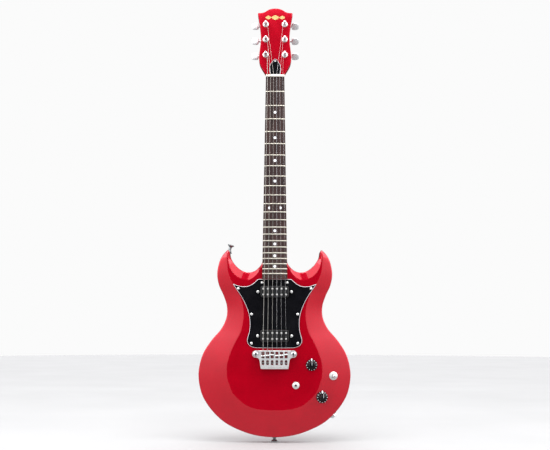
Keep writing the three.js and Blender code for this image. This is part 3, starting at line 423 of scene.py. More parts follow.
# %% Rosewood
def make_rosewood():
    """Streaks times pores for the colour, and the pores again for the gloss and the dents."""
    material, tree, shader = finish("rosewood_oiled", IOR=1.47, Specular_IOR_Level=0.35)
    where = add(tree, "ShaderNodeTexCoord").outputs["Object"]
    long_streak = add(tree, "ShaderNodeMapping", {"Vector": where}, Scale=(METRE / 5, METRE / 5, METRE / 90))
    long_pore = add(tree, "ShaderNodeMapping", {"Vector": where}, Scale=(METRE / 0.6, METRE / 0.6, METRE / 7.2))
    wander = add(tree, "ShaderNodeTexNoise", {"Vector": long_streak.outputs["Vector"]}, Scale=1.0, Detail=4.0,
                 Distortion=0.6).outputs["Fac"]
    pores = add(tree, "ShaderNodeTexNoise", {"Vector": long_pore.outputs["Vector"]}, Scale=1.0,
                Detail=2.0).outputs["Fac"]
    streaks = add(tree, "ShaderNodeValToRGB", {"Fac": wander}, [(0.25, "#1d1213"), (0.5, "#35211f"), (0.75, "#4a302b")])
    holes = add(tree, "ShaderNodeValToRGB", {"Fac": pores}, [(0.34, 0.35), (0.46, 1.0)])
    wood = add(tree, "ShaderNodeMix", {6: streaks.outputs["Color"], 7: holes.outputs["Color"]}, data_type="RGBA",
               blend_type="MULTIPLY", Factor=1.0)
    dryness = add(tree, "ShaderNodeValToRGB", {"Fac": pores}, [(0.3, 0.75), (0.6, 0.48)])
    bump = add(tree, "ShaderNodeBump", {"Height": pores}, Strength=0.6, Distance=0.05 * MM)
    tree.links.new(wood.outputs[2], shader.inputs["Base Color"])
    tree.links.new(dryness.outputs["Color"], shader.inputs["Roughness"])
    tree.links.new(bump.outputs["Normal"], shader.inputs["Normal"])
    return material


rosewood = make_rosewood()
print(rosewood.name)

# %% [markdown]
# **Plastics and bone.** The pickguard is three-ply ABS sheet: gloss black outside, white in the middle, so its
# bevelled edge shows a white line. The knobs and pickup covers are moulded, with a finer grain. Handling dulls the
# gloss in soft patches a few centimetres wide, so one slow noise drives both the colour and the roughness, and a fine
# one dents the surface by a few microns.

# %% Black plastics, white ply, bone and printed marks
CLOUD_MM = 24


def make_plastic(name, dark, light, roughness, grain_mm, grain_depth_mm, haze, gloss=0.5):
    """Two close colours, the roughness and how far it hazes, and the size and depth of the mould's grain."""
    material, tree, shader = finish(name, IOR=1.53, Specular_IOR_Level=gloss)
    where = add(tree, "ShaderNodeTexCoord").outputs["Object"]
    cloud = add(tree, "ShaderNodeTexNoise", {"Vector": where}, Scale=METRE / CLOUD_MM, Detail=4.0).outputs["Fac"]
    grain = add(tree, "ShaderNodeTexNoise", {"Vector": where}, Scale=METRE / grain_mm, Detail=2.0).outputs["Fac"]
    colour = add(tree, "ShaderNodeValToRGB", {"Fac": cloud}, [(0.3, dark), (0.7, light)])
    dullness = add(tree, "ShaderNodeValToRGB", {"Fac": cloud}, [(0.35, roughness), (0.7, roughness + haze)])
    bump = add(tree, "ShaderNodeBump", {"Height": grain}, Strength=0.5, Distance=grain_depth_mm * MM)
    tree.links.new(colour.outputs["Color"], shader.inputs["Base Color"])
    tree.links.new(dullness.outputs["Color"], shader.inputs["Roughness"])
    tree.links.new(bump.outputs["Normal"], shader.inputs["Normal"])
    return material


# Rolled sheet, nearly a mirror: it shows the dark part of the room, and so looks black.
sheet_black = make_plastic("abs_sheet_gloss_black", "#08080b", "#0c0c10", 0.12, 3.0, 0.004, 0.08)
# The sawn middle ply, left matt by the blade, so it stays a steady white line.
ply_white = make_plastic("abs_core_ply_white", "#c9cbcf", "#dcdde0", 0.4, 1.0, 0.01, 0.1)
# Knobs come out of a fine matt mould: a faint sheen on the edges and black everywhere else.
moulded_black = make_plastic("abs_moulded_black", "#08080a", "#0d0d10", 0.2, 1.2, 0.006, 0.08, gloss=0.22)
# The pickup covers have a coarser mould, so they are a shade greyer than the guard round them.
pickup_plastic = make_plastic("abs_pickup_cover_charcoal", "#0b0b0d", "#121215", 0.3, 0.8, 0.02, 0.1)
# Bone is polished by hand and stays creamy, with a waxy sheen.
bone = make_plastic("bone_nut_polished", "#e4dfd0", "#f3efe4", 0.3, 1.5, 0.01, 0.15)
# Printing ink is matt, and a little grey next to bone.
mark_white = make_plastic("pad_printed_white", "#d6d8da", "#e6e8ea", 0.45, 0.6, 0.005, 0.1)
# Cast acrylic is glassy, so each dot has a hard small highlight.
pearl = make_plastic("acrylic_dot_pearl", "#e6eaf2", "#fbfcff", 0.15, 2.0, 0.004, 0.1)
print("seven plastics, from", sheet_black.name, "to", pearl.name)

# %% [markdown]
# **Metals.** Tuners, studs, screws and switches are plated brass or zinc. The bridge is an aluminium casting, tumbled
# and polished, so it is softer and slightly uneven. Frets are nickel silver, rubbed along the neck. A metal has no
# coloured base under its mirror: its colour is the tint of what it reflects, and wear only shifts its roughness.

# %% Metals
def make_metal(name, dark, light, low, high, wear_mm, drawn=1, dent_mm=0.002):
    """Dark and light tints, the range of roughness, and the size of the wear, drawn out along the neck."""
    material, tree, shader = finish(name, Metallic=1.0)
    where = add(tree, "ShaderNodeTexCoord").outputs["Object"]
    rubbed = add(tree, "ShaderNodeMapping", {"Vector": where},
                 Scale=(METRE / wear_mm, METRE / wear_mm, METRE / (wear_mm * drawn)))
    wear = add(tree, "ShaderNodeTexNoise", {"Vector": rubbed.outputs["Vector"]}, Scale=1.0, Detail=5.0).outputs["Fac"]
    tint = add(tree, "ShaderNodeValToRGB", {"Fac": wear}, [(0.3, dark), (0.7, light)])
    polish = add(tree, "ShaderNodeValToRGB", {"Fac": wear}, [(0.35, low), (0.7, high)])
    bump = add(tree, "ShaderNodeBump", {"Height": wear}, Strength=0.5, Distance=dent_mm * MM)
    tree.links.new(tint.outputs["Color"], shader.inputs["Base Color"])
    tree.links.new(polish.outputs["Color"], shader.inputs["Roughness"])
    tree.links.new(bump.outputs["Normal"], shader.inputs["Normal"])
    return material


# A true mirror: white where it faces the room, black at its edges.
chrome = make_metal("chrome_plate_polished", "#dfe1e3", "#eceef0", 0.04, 0.10, 6)
# Tumbled casting: the skin keeps tiny hollows, so highlights spread and the plate is an even silver.
cast_aluminium = make_metal("aluminium_casting_satin", "#dedede", "#ebebeb", 0.45, 0.55, 2.2, dent_mm=0.02)
# Fret wire is drawn through a die and rubbed by strings: warm, soft and streaked.
fret_wire = make_metal("nickel_silver_fret_wire", "#cdc8ba", "#e2ddd0", 0.38, 0.48, 0.8, drawn=6)
# Plain strings are drawn steel, greyer than plate, with one long highlight.
plain_steel = make_metal("steel_plain_string", "#b2b2b4", "#cacacc", 0.22, 0.32, 1.0, drawn=20)
# Zinc goes dull in air: a blue-grey that never mirrors sharply.
zinc_steel = make_metal("steel_zinc_plated", "#7d8082", "#929698", 0.3, 0.42, 2.5)
# Nickel over a brushed base: bright, but its highlights are wide.
satin_nickel = make_metal("nickel_plate_satin", "#e4e4e2", "#f6f6f4", 0.4, 0.5, 1.5)
# The same plate where fingers turn it all day has lost more of its gloss.
button_nickel = make_metal("nickel_plate_worn", "#e0e1e3", "#eeeff0", 0.5, 0.62, 2.0)
# Turned brass shows the tool's fine rings as a slightly rough gold.
turned_brass = make_metal("brass_turned", "#a9823f", "#c39a52", 0.22, 0.36, 0.9)
# Pressed foil is thin and follows the lacquer, so it glows more than it mirrors.
gold_leaf = make_metal("gold_foil_inlay", "#e6c472", "#f6dda0", 0.3, 0.4, 1.2)
print("nine metals, from", chrome.name, "to", gold_leaf.name)

# %% [markdown]
# ** Wound strings and felt.** A bass string is nickel wire wound round a steel core. The grooves between the turns are
# painted darker, as painted shade, and a bump dents them, so fine dark lines show across it. The real turns are 0.3 mm
# apart, and they are drawn at 1 mm so that they show. The washer under the upper strap button is pressed wool: matt
# black, with a fuzz of fibres about 0.4 mm across that catches light at the edge.

# %% Wound wire and felt
WAVE_PERIOD = 0.32  # a Wave texture of scale 1 repeats about this often


def make_wound_wire():
    """Light ridges and grooves across the string, with the grooves painted darker as painted shade."""
    material, tree, shader = finish("nickel_wound_string", Metallic=1.0, Roughness=0.32)
    where = add(tree, "ShaderNodeTexCoord").outputs["Object"]
    turns = add(tree, "ShaderNodeTexWave", {"Vector": where}, bands_direction="Z", Scale=WAVE_PERIOD * METRE / 1.0)
    # Painted shade: the base colour darkens from the ridges into the grooves between the turns, where shade falls.
    groove = add(tree, "ShaderNodeValToRGB", {"Fac": turns.outputs["Fac"]}, [(0.1, "#6f6d6a"), (0.6, "#b4b1ab")])
    bump = add(tree, "ShaderNodeBump", {"Height": turns.outputs["Fac"]}, Strength=1.0, Distance=0.08 * MM)
    tree.links.new(groove.outputs["Color"], shader.inputs["Base Color"])
    tree.links.new(bump.outputs["Normal"], shader.inputs["Normal"])
    return material


def make_felt():
    """Matt black wool with a sheen of fibres."""
    material, tree, shader = finish("wool_felt_black", Roughness=0.95, Sheen_Weight=0.5, Sheen_Roughness=0.5)
    where = add(tree, "ShaderNodeTexCoord").outputs["Object"]
    fuzz = add(tree, "ShaderNodeTexNoise", {"Vector": where}, Scale=METRE / 0.4, Detail=3.0)
    wool = add(tree, "ShaderNodeValToRGB", {"Fac": fuzz.outputs["Fac"]}, [(0.3, "#0c0c0c"), (0.7, "#242424")])
    bump = add(tree, "ShaderNodeBump", {"Height": fuzz.outputs["Fac"]}, Strength=1.0, Distance=0.2 * MM)
    tree.links.new(wool.outputs["Color"], shader.inputs["Base Color"])
    tree.links.new(bump.outputs["Normal"], shader.inputs["Normal"])
    return material


wound_wire, felt_black = make_wound_wire(), make_felt()
print(len(bpy.data.materials), "finishes and imported slots")

# %% [markdown]
# ## Room, light and camera
# A glossy guitar shows the room as much as itself. The room is a pale floor and a bright surround of soft light, with
# a darker zone behind the camera: that is what keeps the flat front deep red while the sloping rim, which mirrors the
# sides of the room, turns lighter. The camera stands low, about level with the body's lower edge, and looks a little
# upwards, so the headstock is farther away than the body.

# %% Camera
CAMERA_PITCH = math.radians(8)
CAMERA_ROLL = math.radians(0.12)
CAMERA_SPOT = (0.4, -1673.7, -581.5)

camera_data = bpy.data.cameras.new("camera")
camera_data.lens = 48.9
camera_data.sensor_width = 36
camera_data.clip_end = 60
camera = bpy.data.objects.new("camera", camera_data)
bpy.context.scene.collection.objects.link(camera)
camera.location = Vector(CAMERA_SPOT) * MM
camera.rotation_euler = (Matrix.Rotation(math.pi / 2 + CAMERA_PITCH, 3, "X") @
                         Matrix.Rotation(CAMERA_ROLL, 3, "Z")).to_euler()
bpy.context.scene.camera = camera
bpy.context.scene.view_settings.view_transform = "Standard"
print("lens", round(camera_data.lens, 1), "mm, tilted up", round(math.degrees(CAMERA_PITCH)), "degrees")

# %% [markdown]
# The surround is a world shader. It could be one flat colour, but then nothing would show which way a surface faces.
# Its brightness climbs from the ground to the ceiling, and only the camera sees it as plain white.

# %% Surround
ROOM_LOW, ROOM_HIGH = 0.6, 2.3
ROOM_CLIMB = (-0.25, 0.55)


def make_surround():
    """A backdrop that the camera sees as even white, and that everything else sees as a dimmer soft grey room."""
    world = bpy.data.worlds.new("surround")
    bpy.context.scene.world = world
    world.use_nodes = True
    tree = world.node_tree
    tree.nodes.clear()
    seen = add(tree, "ShaderNodeLightPath").outputs["Is Camera Ray"]
    direction = add(tree, "ShaderNodeSeparateXYZ", {0: add(tree, "ShaderNodeTexCoord").outputs["Generated"]})
    climb = add(tree, "ShaderNodeMapRange", {"Value": direction.outputs["Z"]}, interpolation_type="SMOOTHSTEP",
                From_Min=ROOM_CLIMB[0], From_Max=ROOM_CLIMB[1], To_Min=ROOM_LOW, To_Max=ROOM_HIGH)
    room = add(tree, "ShaderNodeBackground", {"Strength": climb.outputs["Result"]}, Color=linear("#fbfbfd"))
    plain = add(tree, "ShaderNodeBackground", Color=linear("#fbfbfb"), Strength=1.0)
    mixed = add(tree, "ShaderNodeMixShader", {0: seen, 1: room.outputs[0], 2: plain.outputs[0]})
    add(tree, "ShaderNodeOutputWorld", {"Surface": mixed.outputs[0]})
    print("the room brightens from", ROOM_LOW, "below to", ROOM_HIGH, "above")


make_surround()

# %% [markdown]
# A studio shapes a glossy thing with cards as much as with lamps. One black card hangs behind the camera, where
# the flat front mirrors it and stays deep red. Another hangs behind the guitar and draws a thin dark line along each
# rounded edge. Three large soft lamps give gentle shadows, and the floor is matt, so that it mirrors nothing.

# %% Floor, black cards and lamps
FLOOR_TONES = ("#a0a0a0", "#a4a4a4")
FLOOR_RADIUS, FLOOR_GAP = 6, 0.001
CARDS = {"card_front": (-3.0, 0.75, -1.2, 3.4), "card_rear": (1.5, 4.0, -0.8, 5.0)}  # distance, half width, low, high


def staged(name, bm, material):
    """A bmesh in metres as part of the stage, not of the guitar."""
    mesh = bpy.data.meshes.new(name)
    bm.to_mesh(mesh)
    bm.free()
    mesh.materials.append(material)
    thing = bpy.data.objects.new(name, mesh)
    bpy.context.scene.collection.objects.link(thing)
    return thing


def make_floor():
    """A matt painted floor, whose tone drifts over 300 mm as a rolled coat does."""
    material, tree, shader = finish("painted_floor_pale", Roughness=0.9)
    where = add(tree, "ShaderNodeTexCoord").outputs["Object"]
    mottle = add(tree, "ShaderNodeTexNoise", {"Vector": where}, Scale=METRE / 300, Detail=3.0)
    tone = add(tree, "ShaderNodeValToRGB", {"Fac": mottle.outputs["Fac"]}, list(zip((0.3, 0.7), FLOOR_TONES)))
    tree.links.new(tone.outputs["Color"], shader.inputs["Base Color"])
    bm = bmesh.new()
    bmesh.ops.create_circle(bm, cap_ends=True, segments=64, radius=FLOOR_RADIUS)
    bmesh.ops.translate(bm, verts=bm.verts, vec=(0, 0, cad_box[0].z - FLOOR_GAP))
    floor = staged("floor", bm, material)
    floor.visible_glossy = False


def make_cards():
    """Black cards that only mirrors see: one behind the camera, which the flat front shows, and one behind the
    guitar, which draws a thin dark line along every rounded edge against the white."""
    material, tree, shader = finish("black_velvet_card", Roughness=1.0)
    where = add(tree, "ShaderNodeTexCoord").outputs["Object"]
    nap = add(tree, "ShaderNodeTexNoise", {"Vector": where}, Scale=METRE / 2, Detail=1.0)
    black = add(tree, "ShaderNodeValToRGB", {"Fac": nap.outputs["Fac"]}, [(0.3, "#040404"), (0.7, "#0a0a0a")])
    tree.links.new(black.outputs["Color"], shader.inputs["Base Color"])
    for name, (distance, half, low, high) in CARDS.items():
        bm = bmesh.new()
        bm.faces.new([bm.verts.new((x, distance, z)) for x, z in
                      [(-half, low), (half, low), (half, high), (-half, high)]])
        card = staged(name, bm, material)
        card.visible_camera = card.visible_shadow = card.visible_diffuse = False


def soft_lamp(name, spot, aim, width, height, watts):
    """A rectangular lamp at a spot, in metres, turned to face its aim."""
    lamp = bpy.data.lights.new(name, "AREA")
    lamp.shape, lamp.size, lamp.size_y, lamp.energy = "RECTANGLE", width, height, watts
    holder = bpy.data.objects.new(name, lamp)
    bpy.context.scene.collection.objects.link(holder)
    holder.location = spot
    holder.visible_camera = False
    holder.rotation_euler = (Vector(aim) - Vector(spot)).to_track_quat("-Z", "Y").to_euler()


make_floor()
make_cards()
soft_lamp("key_left", (-1.75, -0.65, 0.15), (0, 0, -0.4), 1.0, 1.7, 14)
soft_lamp("fill_right", (1.75, -0.65, 0.15), (0, 0, -0.4), 1.0, 1.7, 12)
soft_lamp("top", (0, -0.6, 1.5), (0, 0, -0.1), 1.6, 0.5, 24)
print("floor,", len(CARDS), "cards and three soft lamps")

# %% [markdown]
# ## The body
# The body is a slab of wood, flat in front and behind, whose front rim slopes away in a broad bevel. Carving such a
# shape from a block would leave tool marks in the reflections, so it is drawn the way it is sawn: one closed outline is
# extruded edge by edge, from the back round-over, up the side, over the front edge, across the bevel to the crease,
# and the last ring is filled. Every ring keeps the same points, so reflections flow along the rim without a break.

# %% Body outline
# Right half, from the middle of the bottom to the neck: outer x, distance below the nut, the crease's x and distance
# below the nut, and how far the bevel falls.
BODY_STATIONS = [
    (0, 815, 0, 758, 10), (32, 812.5, 20, 757.3, 10), (63, 805, 40, 755, 10), (101, 788.5, 57, 749.5, 10),
    (127, 769, 72, 740, 10), (148, 745, 88.5, 724, 10), (162, 719, 97.5, 706, 10), (168.6, 688, 105, 682, 10),
    (167.2, 661, 105, 658, 10), (158.5, 632, 98.5, 633.5, 10), (141, 604.5, 88, 609.5, 10),
    (119.5, 579, 75.5, 584.5, 10), (108.2, 554, 70.2, 556, 10), (107.4, 529, 71.5, 530, 10), (115, 505, 80, 504, 9),
    (125.5, 482, 94, 479.5, 8), (130, 457, 104.8, 455, 7), (126, 431.5, 107.8, 430, 6), (118.5, 415, 108.2, 416, 5.5),
    (110.5, 406, 107.6, 411, 5), (106.3, 402.6, 106.8, 409.5, 5), (102.6, 406, 106, 412, 5),
    (100.4, 418, 105.2, 421, 5.5), (95, 428, 103.5, 433, 6), (88.5, 437, 99, 446, 6.5), (79, 445.5, 89, 459.5, 7),
    (68, 451.3, 77, 467.5, 7), (56, 452.6, 63, 471, 7), (44.5, 449, 50.5, 466, 6.5), (35.5, 441.5, 40, 456, 5.5),
    (30, 434.5, 32, 444, 3.5), (27.7, 428, 25.5, 434, 0.8),
]
BODY_FRONT = 4.0
BODY_BACK = 47.0
BACK_ROUND = 5.0
POINTS_PER_STATION = 7


def quarter(start, corner, end, steps):
    """Points along a smooth quarter turn from start to end, pulled towards the corner."""
    return [start.lerp(corner, i / steps).lerp(corner.lerp(end, i / steps), i / steps) for i in range(steps + 1)]


def rib(station):
    """The body's edge at one station, from the back round-over to just inside the crease, as points in 3-D."""
    x, down, crease_x, crease_down, fall = station
    outer, crease = Vector((x, -down)), Vector((crease_x, -crease_down))
    width = (crease - outer).length
    inward = (crease - outer) / width

    def point(inset, depth):
        """A point of the section, by its distance in from the edge and its depth."""
        flat = outer + inward * inset
        return Vector((flat.x, depth, flat.y))

    edge = BODY_FRONT + fall
    back_reach = min(BACK_ROUND, width * 0.9)
    turn = max(0.15, 0.34 * fall - 0.95)
    slope = fall / width
    ledge = min(2.2, width * 0.3)
    profile = quarter(point(back_reach, BODY_BACK), point(0, BODY_BACK), point(0, BODY_BACK - BACK_ROUND), 5)
    profile += [point(0, BODY_BACK - 16), point(0, edge + 14)]
    profile += quarter(point(0, edge + 2.2), point(0, edge), point(ledge, edge - slope * ledge), 5)
    profile += [point(inset, edge - slope * inset) for inset in
                (ledge + (width - turn - ledge) * share for share in (0.06, 0.3, 0.6, 0.9))]
    profile += quarter(point(width - turn, BODY_FRONT + slope * turn), point(width, BODY_FRONT),
                       point(width + turn, BODY_FRONT), 4)
    return profile


def make_body():
    """Ribs along the right half, mirrored to the left, and skinned ring by ring from the back to the crease."""
    x, down, crease_x, crease_down, fall = BODY_STATIONS[1]
    beyond_middle = (-x, down, -crease_x, crease_down, fall)
    right = [rib(station) for station in smooth_line([beyond_middle, *BODY_STATIONS], POINTS_PER_STATION)]
    right = right[POINTS_PER_STATION:]
    left = [[Vector((-p.x, p.y, p.z)) for p in profile] for profile in reversed(right[1:])]
    return keep("body_shell", lofted(list(zip(*(right + left)))), red_lacquer, replaces=["body"])


print(len(BODY_STATIONS), "stations from the bottom to the neck")

# %% [markdown]
# The body is hollowed where things go in: the pocket for the neck's tenon, a route under each pickup, a cavity in the
# back for the controls, and the bores for studs, shafts and switches. These are straight cuts, so simple cutters and
# the Boolean modifier make them exactly as a router and a drill would.

# %% Pockets and bores of the body
PICKUPS = {"neck": (497, 25, -6.4), "bridge": (594.6, 26, -7.2)}
STUD_X, STUD_DOWN = 41.25, 634
CAVITY = [(80, 634), (108, 639), (140, 659), (150, 682), (143, 712), (122, 745), (98, 750), (70, 735), (36, 718),
          (29, 703), (38, 690), (56, 680), (62, 655)]
CONTROL_BORES = {"volume": (4.2, 13.4), "tone": (4.2, 13.4), "selector": (6.1, 15), "coil_switch": (3.7, 13.4)}
LEVER_PIVOT = 3.2
SWITCH_OUTWARD = {"selector": Vector((0.154, -0.988, -0.0145)).normalized(), "coil_switch": Vector((0, -1, 0))}
TENON_HALF, TENON_DEPTH, TENON_END = 22, 30, 480
FIT = 0.3
COVER_LIP, COVER_RECESS = 6, 2
STUD_BORE, STUD_BORE_DEPTH = 4.9, 19


def facing(outward):
    """The turn that takes -Y to an outward direction."""
    return Vector((0, -1, 0)).rotation_difference(outward).to_matrix()


def control_turn(name):
    """Where a control stands on the front, and the turn that takes -Y to its outward direction."""
    is_switch = name in SWITCH_OUTWARD
    joint = next(j for j in frame["joints"] if j["name"] == name + ("_tilt" if is_switch else "_turn"))
    outward = SWITCH_OUTWARD[name] if is_switch else Vector(joint["axis"])
    spot = Vector(joint["pos_m"]) / MM + outward * (LEVER_PIVOT if is_switch else 0)
    return spot, facing(outward)


def cavity_outline(grow):
    """The rounded outline of the control cavity, grown outwards from its middle."""
    middle = sum((Vector((x, -d)) for x, d in CAVITY), Vector((0, 0))) / len(CAVITY)
    points = []
    for x, down in CAVITY:
        away = Vector((x, -down)) - middle
        points.append(tuple(middle + away.normalized() * (away.length + grow)))
    wrapped = smooth_line([points[-1], *points, points[0], points[1]], 8)
    return wrapped[8:-9]

print("cavity outline:", len(cavity_outline(0)), "points")

# %% [markdown]
# Now the cutters themselves. Each is a bar, a sheet or a rod that stands clear of the surface it starts from.

# %% Cut the body
def body_cutters():
    """The neck pocket, two pickup routes with room for their ears, the cavity with its lip, and all the bores.
    Cutters that share a plane are a hundredth apart, because the Boolean can't tell which side a shared face is on."""
    reach = TENON_HALF + FIT
    tools = [bar((-reach, -1, -TENON_END - FIT), (reach, TENON_DEPTH + FIT, -423))]
    for at, _, front in PICKUPS.values():
        tools.append(sheet(box_outline(66, 33, 5, 0, -at), BODY_FRONT - 1, front + 24))
        tools.append(sheet(box_outline(92, 18, 5, 0, -at), BODY_FRONT - 1.01, front + 23.98))
    tools.append(sheet(cavity_outline(0), 16, BODY_BACK + 1))
    tools.append(sheet(cavity_outline(COVER_LIP + FIT), BODY_BACK - COVER_RECESS - FIT, BODY_BACK + 1.01))
    for name, (bore, room) in CONTROL_BORES.items():
        spot, turn = control_turn(name)
        tools.append(place(rod((0, -3, 0), (0, 20, 0), bore), turn, spot))
        tools.append(place(rod((0, 5, 0), (0, 22, 0), room), turn, spot))
    for x in (-STUD_X, STUD_X):
        tools.append(rod((x, 0, -STUD_DOWN), (x, BODY_FRONT + STUD_BORE_DEPTH, -STUD_DOWN), STUD_BORE))
    return tools


body = make_body()
carve(body, body_cutters())
print("body:", len(body.data.polygons), "faces")

# %% [markdown]
# ## Neck and headstock
# The neck is one piece of wood with a D-shaped back that swells into a square heel where it meets the body. A list of
# sections does it: each says how far down it is, how deep, and how square its D is. The headstock is thin sheet stock
# by comparison, so it is an outline given thickness, its edges rounded over, and tilted six degrees back at the nut.

# %% Neck
HEAD_TILT = Matrix.Rotation(-math.radians(6), 3, "X")
HEAD_START = Vector((0, 0, 6))
NUT_WIDTH, BOARD_END_WIDTH, BOARD_END = 43, 56.3, 468
NECK_JOINT = 427.7
TONGUE_DEPTH, TENON_TOP = 3.7, 3.2
NECK_STEPS, NECK_SIDE = 28, 3.0


def bent(value, power):
    """A sine or cosine raised to a power with its sign kept, which squares or pinches a circle."""
    return math.copysign(abs(value) ** power, value)


def half_width(down):
    """Half the width of the neck at a distance below the nut."""
    return (NUT_WIDTH + (BOARD_END_WIDTH - NUT_WIDTH) * down / BOARD_END) / 2


NECK_SECTIONS = [
    # distance below the nut, half width, depth, how round the D is (1 is half an ellipse)
    (-24, 21.5, 12.2, 0.34), (-17, 21.3, 12.8, 0.5), (-11, 21.2, 13.6, 0.72), (-4, 21.5, 14.4, 0.92),
    (6, half_width(6), 14.5, 1.0), (100, half_width(100), 15.2, 1.0), (220, half_width(220), 16.2, 1.0),
    (330, half_width(330), 17.1, 1.0), (360, half_width(360), 17.5, 1.0), (382, half_width(382), 18.6, 0.95),
    (398, half_width(398), 23.5, 0.8), (411, half_width(411), 33, 0.62), (421, half_width(421), 39.5, 0.48),
    (NECK_JOINT, half_width(NECK_JOINT), 42, 0.4),
]


def neck_section(down, wide, deep, roundness):
    """One D: flat in front, straight for a little at each side, then round or square behind."""
    points = [Vector((-wide, 0, -down))]
    for i in range(NECK_STEPS + 1):
        angle = math.pi * i / NECK_STEPS
        depth = NECK_SIDE + (deep - NECK_SIDE) * math.sin(angle) ** roundness
        points.append(Vector((-wide * bent(math.cos(angle), roundness), depth, -down)))
    return points + [Vector((wide, 0, -down))]


def make_neck():
    """The shaft with its heel, the tongue under the board's end, and the tenon."""
    sections = [neck_section(*row) for row in smooth_line(NECK_SECTIONS, 5)]
    corners = ((-1, 0), (1, 0), (1, TONGUE_DEPTH), (-1, TONGUE_DEPTH))
    tongue = lofted([[Vector((side * half_width(down), depth, -down)) for side, depth in corners]
                     for down in (NECK_JOINT - 1, BOARD_END)])
    tenon = bar((-TENON_HALF, TENON_TOP, -TENON_END), (TENON_HALF, TENON_DEPTH, 1 - NECK_JOINT), 0.5)
    return keep("neck_shaft", merged(lofted(sections), tongue, tenon), red_lacquer, replaces=["neck"],
                weld=0)

neck = make_neck()
print("neck:", len(neck.data.polygons), "faces")

# %% [markdown]
# The headstock is half an outline, mirrored: a side that waists in and flares out, a small shoulder and a crown. The
# tuners stand in two rows, and everything on the headstock is drawn flat and then tilted with it.

# %% Headstock
HEAD_SIDE = [(21.6, 2), (22.4, 4.5), (25.2, 9.5), (30.6, 18.5), (35.4, 29), (37.6, 40), (37.6, 51), (35.8, 68),
             (34, 86), (33.9, 102), (35.6, 121), (38.6, 142), (41, 156.6)]
HEAD_SHOULDER = [(41.2, 158.6), (40.4, 160)]
HEAD_CROWN = [(38.8, 160.5), (31, 161), (24.5, 163.4), (17, 168.4), (9, 171.6), (0, 172.6), (-9, 171.6)]
HEAD_THICKNESS, HEAD_ROUND, HEAD_GENTLE = 14, 1.3, math.radians(40)
TUNER_BORE = 5.2
POST_X, POST_FIRST, POST_PITCH = 22.45, 51.5, 39.35


def on_headstock(x, depth, up):
    """A point given in the headstock's own tilted frame."""
    return HEAD_TILT @ Vector((x, depth, up)) + HEAD_START


def tuner_places():
    """Number, side and height of each tuner: 1 to 3 go up the left side, 4 to 6 come down the right."""
    return [(n, -1, POST_FIRST + (n - 1) * POST_PITCH) for n in (1, 2, 3)] + \
           [(n, 1, POST_FIRST + (6 - n) * POST_PITCH) for n in (4, 5, 6)]


def make_headstock():
    """The plate with its edges rounded on both faces, six tuner bores and the truss rod's pocket."""
    half = smooth_line(HEAD_SIDE, 5) + HEAD_SHOULDER + smooth_line(HEAD_CROWN, 5)[:-5]
    plate = sheet(both_sides(half), 0, HEAD_THICKNESS, HEAD_ROUND, 4, back_edge=True)
    head = keep("headstock", place(plate, HEAD_TILT, HEAD_START), red_lacquer, gentle=HEAD_GENTLE)
    tools = [place(rod((0, -2, 0), (0, HEAD_THICKNESS + 2, 0), TUNER_BORE), HEAD_TILT,
                   on_headstock(side * POST_X, 0, up)) for _, side, up in tuner_places()]
    truss_pocket = place(bar((-7, -8, 2), (7, 10.9, 27)), HEAD_TILT, HEAD_START)
    return carve(head, [*tools, truss_pocket], gentle=HEAD_GENTLE)


headstock = make_headstock()
print("headstock:", len(headstock.data.polygons), "faces")

# %% [markdown]
# ## Fingerboard
# The playing surface is crowned like a slice of a cylinder of 305 mm radius. Frets are wire with a half-round bead:
# each is one small profile extruded across the crown, its ends filed at a slant. Their places follow the rule of the
# twelfth root of two. Dots mark the places 3, 5, 7, 9, 15, 17, 19 and 21, and a pair of them marks 12.

# %% Fingerboard
SCALE_LENGTH = 635
BOARD_TOP, BOARD_UNDER, BOARD_EDGE = -6.3, -0.3, 0.5
CROWN = 305
DOT_FRETS, DOT_RADIUS, TWIN_DOTS = (3, 5, 7, 9, 12, 15, 17, 19, 21), 3.1, 12.3


def drop(x):
    """How far the crowned surface falls away at a distance from the centre line."""
    return CROWN - math.sqrt(CROWN * CROWN - x * x)


def fret_down(number):
    """How far below the nut a fret stands."""
    return SCALE_LENGTH * (1 - 2 ** (-number / 12))


def board_section(down):
    """The board's outline at one place: flat underneath, crowned on top, with its top edges broken."""
    wide = half_width(down)
    shoulder = BOARD_TOP + drop(wide) + BOARD_EDGE
    points = [(-wide, BOARD_UNDER), (wide, BOARD_UNDER), (wide, shoulder)]
    for i in range(21):
        x = max(-wide + BOARD_EDGE, min(wide - BOARD_EDGE, wide * (1 - i / 10)))
        points.append((x, BOARD_TOP + drop(x)))
    return [Vector((x, y, -down)) for x, y in points + [(-wide, shoulder)]]


def make_board():
    """Four sections of the crowned board, skinned."""
    rows = [0, BOARD_END * 0.33, BOARD_END * 0.66, BOARD_END]
    return keep("fingerboard_wood", lofted([board_section(down) for down in rows]), rosewood,
                replaces=["fingerboard"], weld=0.0005)

print("fingerboard:", len(make_board().data.polygons), "faces")

# %% [markdown]
# A fret could be a modifier array, but each one has its own length, so a loop makes them. The bead's profile is
# carried across the crown, and its first and last rings are low, as a file leaves them.

# %% Frets
FRETS = 22
FRET_INSET, FRET_SLANT, FRET_END_HEIGHT, FRET_SUNK = 0.15, 0.9, 0.12, 0.2
FRET_BEAD = [(-1.3, 0), (-1.15, -0.55), (-0.75, -0.95), (0, -1.1), (0.75, -0.95), (1.15, -0.55), (1.3, 0)]


def make_frets():
    """Beads of wire across the crown, whose first and last rings are filed down to the wood at a slant."""
    wires = []
    for number in range(1, FRETS + 1):
        down = fret_down(number)
        wide = half_width(down) - FRET_INSET
        inner = wide - FRET_SLANT
        rings = []
        for x in [-wide, *(inner * (i / 5 - 1) for i in range(11)), wide]:
            height = FRET_END_HEIGHT if abs(x) == wide else 1
            rings.append([Vector((x, BOARD_TOP + drop(x) + FRET_SUNK + (rise - FRET_SUNK) * height, z - down))
                          for z, rise in FRET_BEAD])
        wires.append(lofted(rings))
    return keep("frets", merged(*wires), fret_wire, weld=0, gentle=math.radians(50))

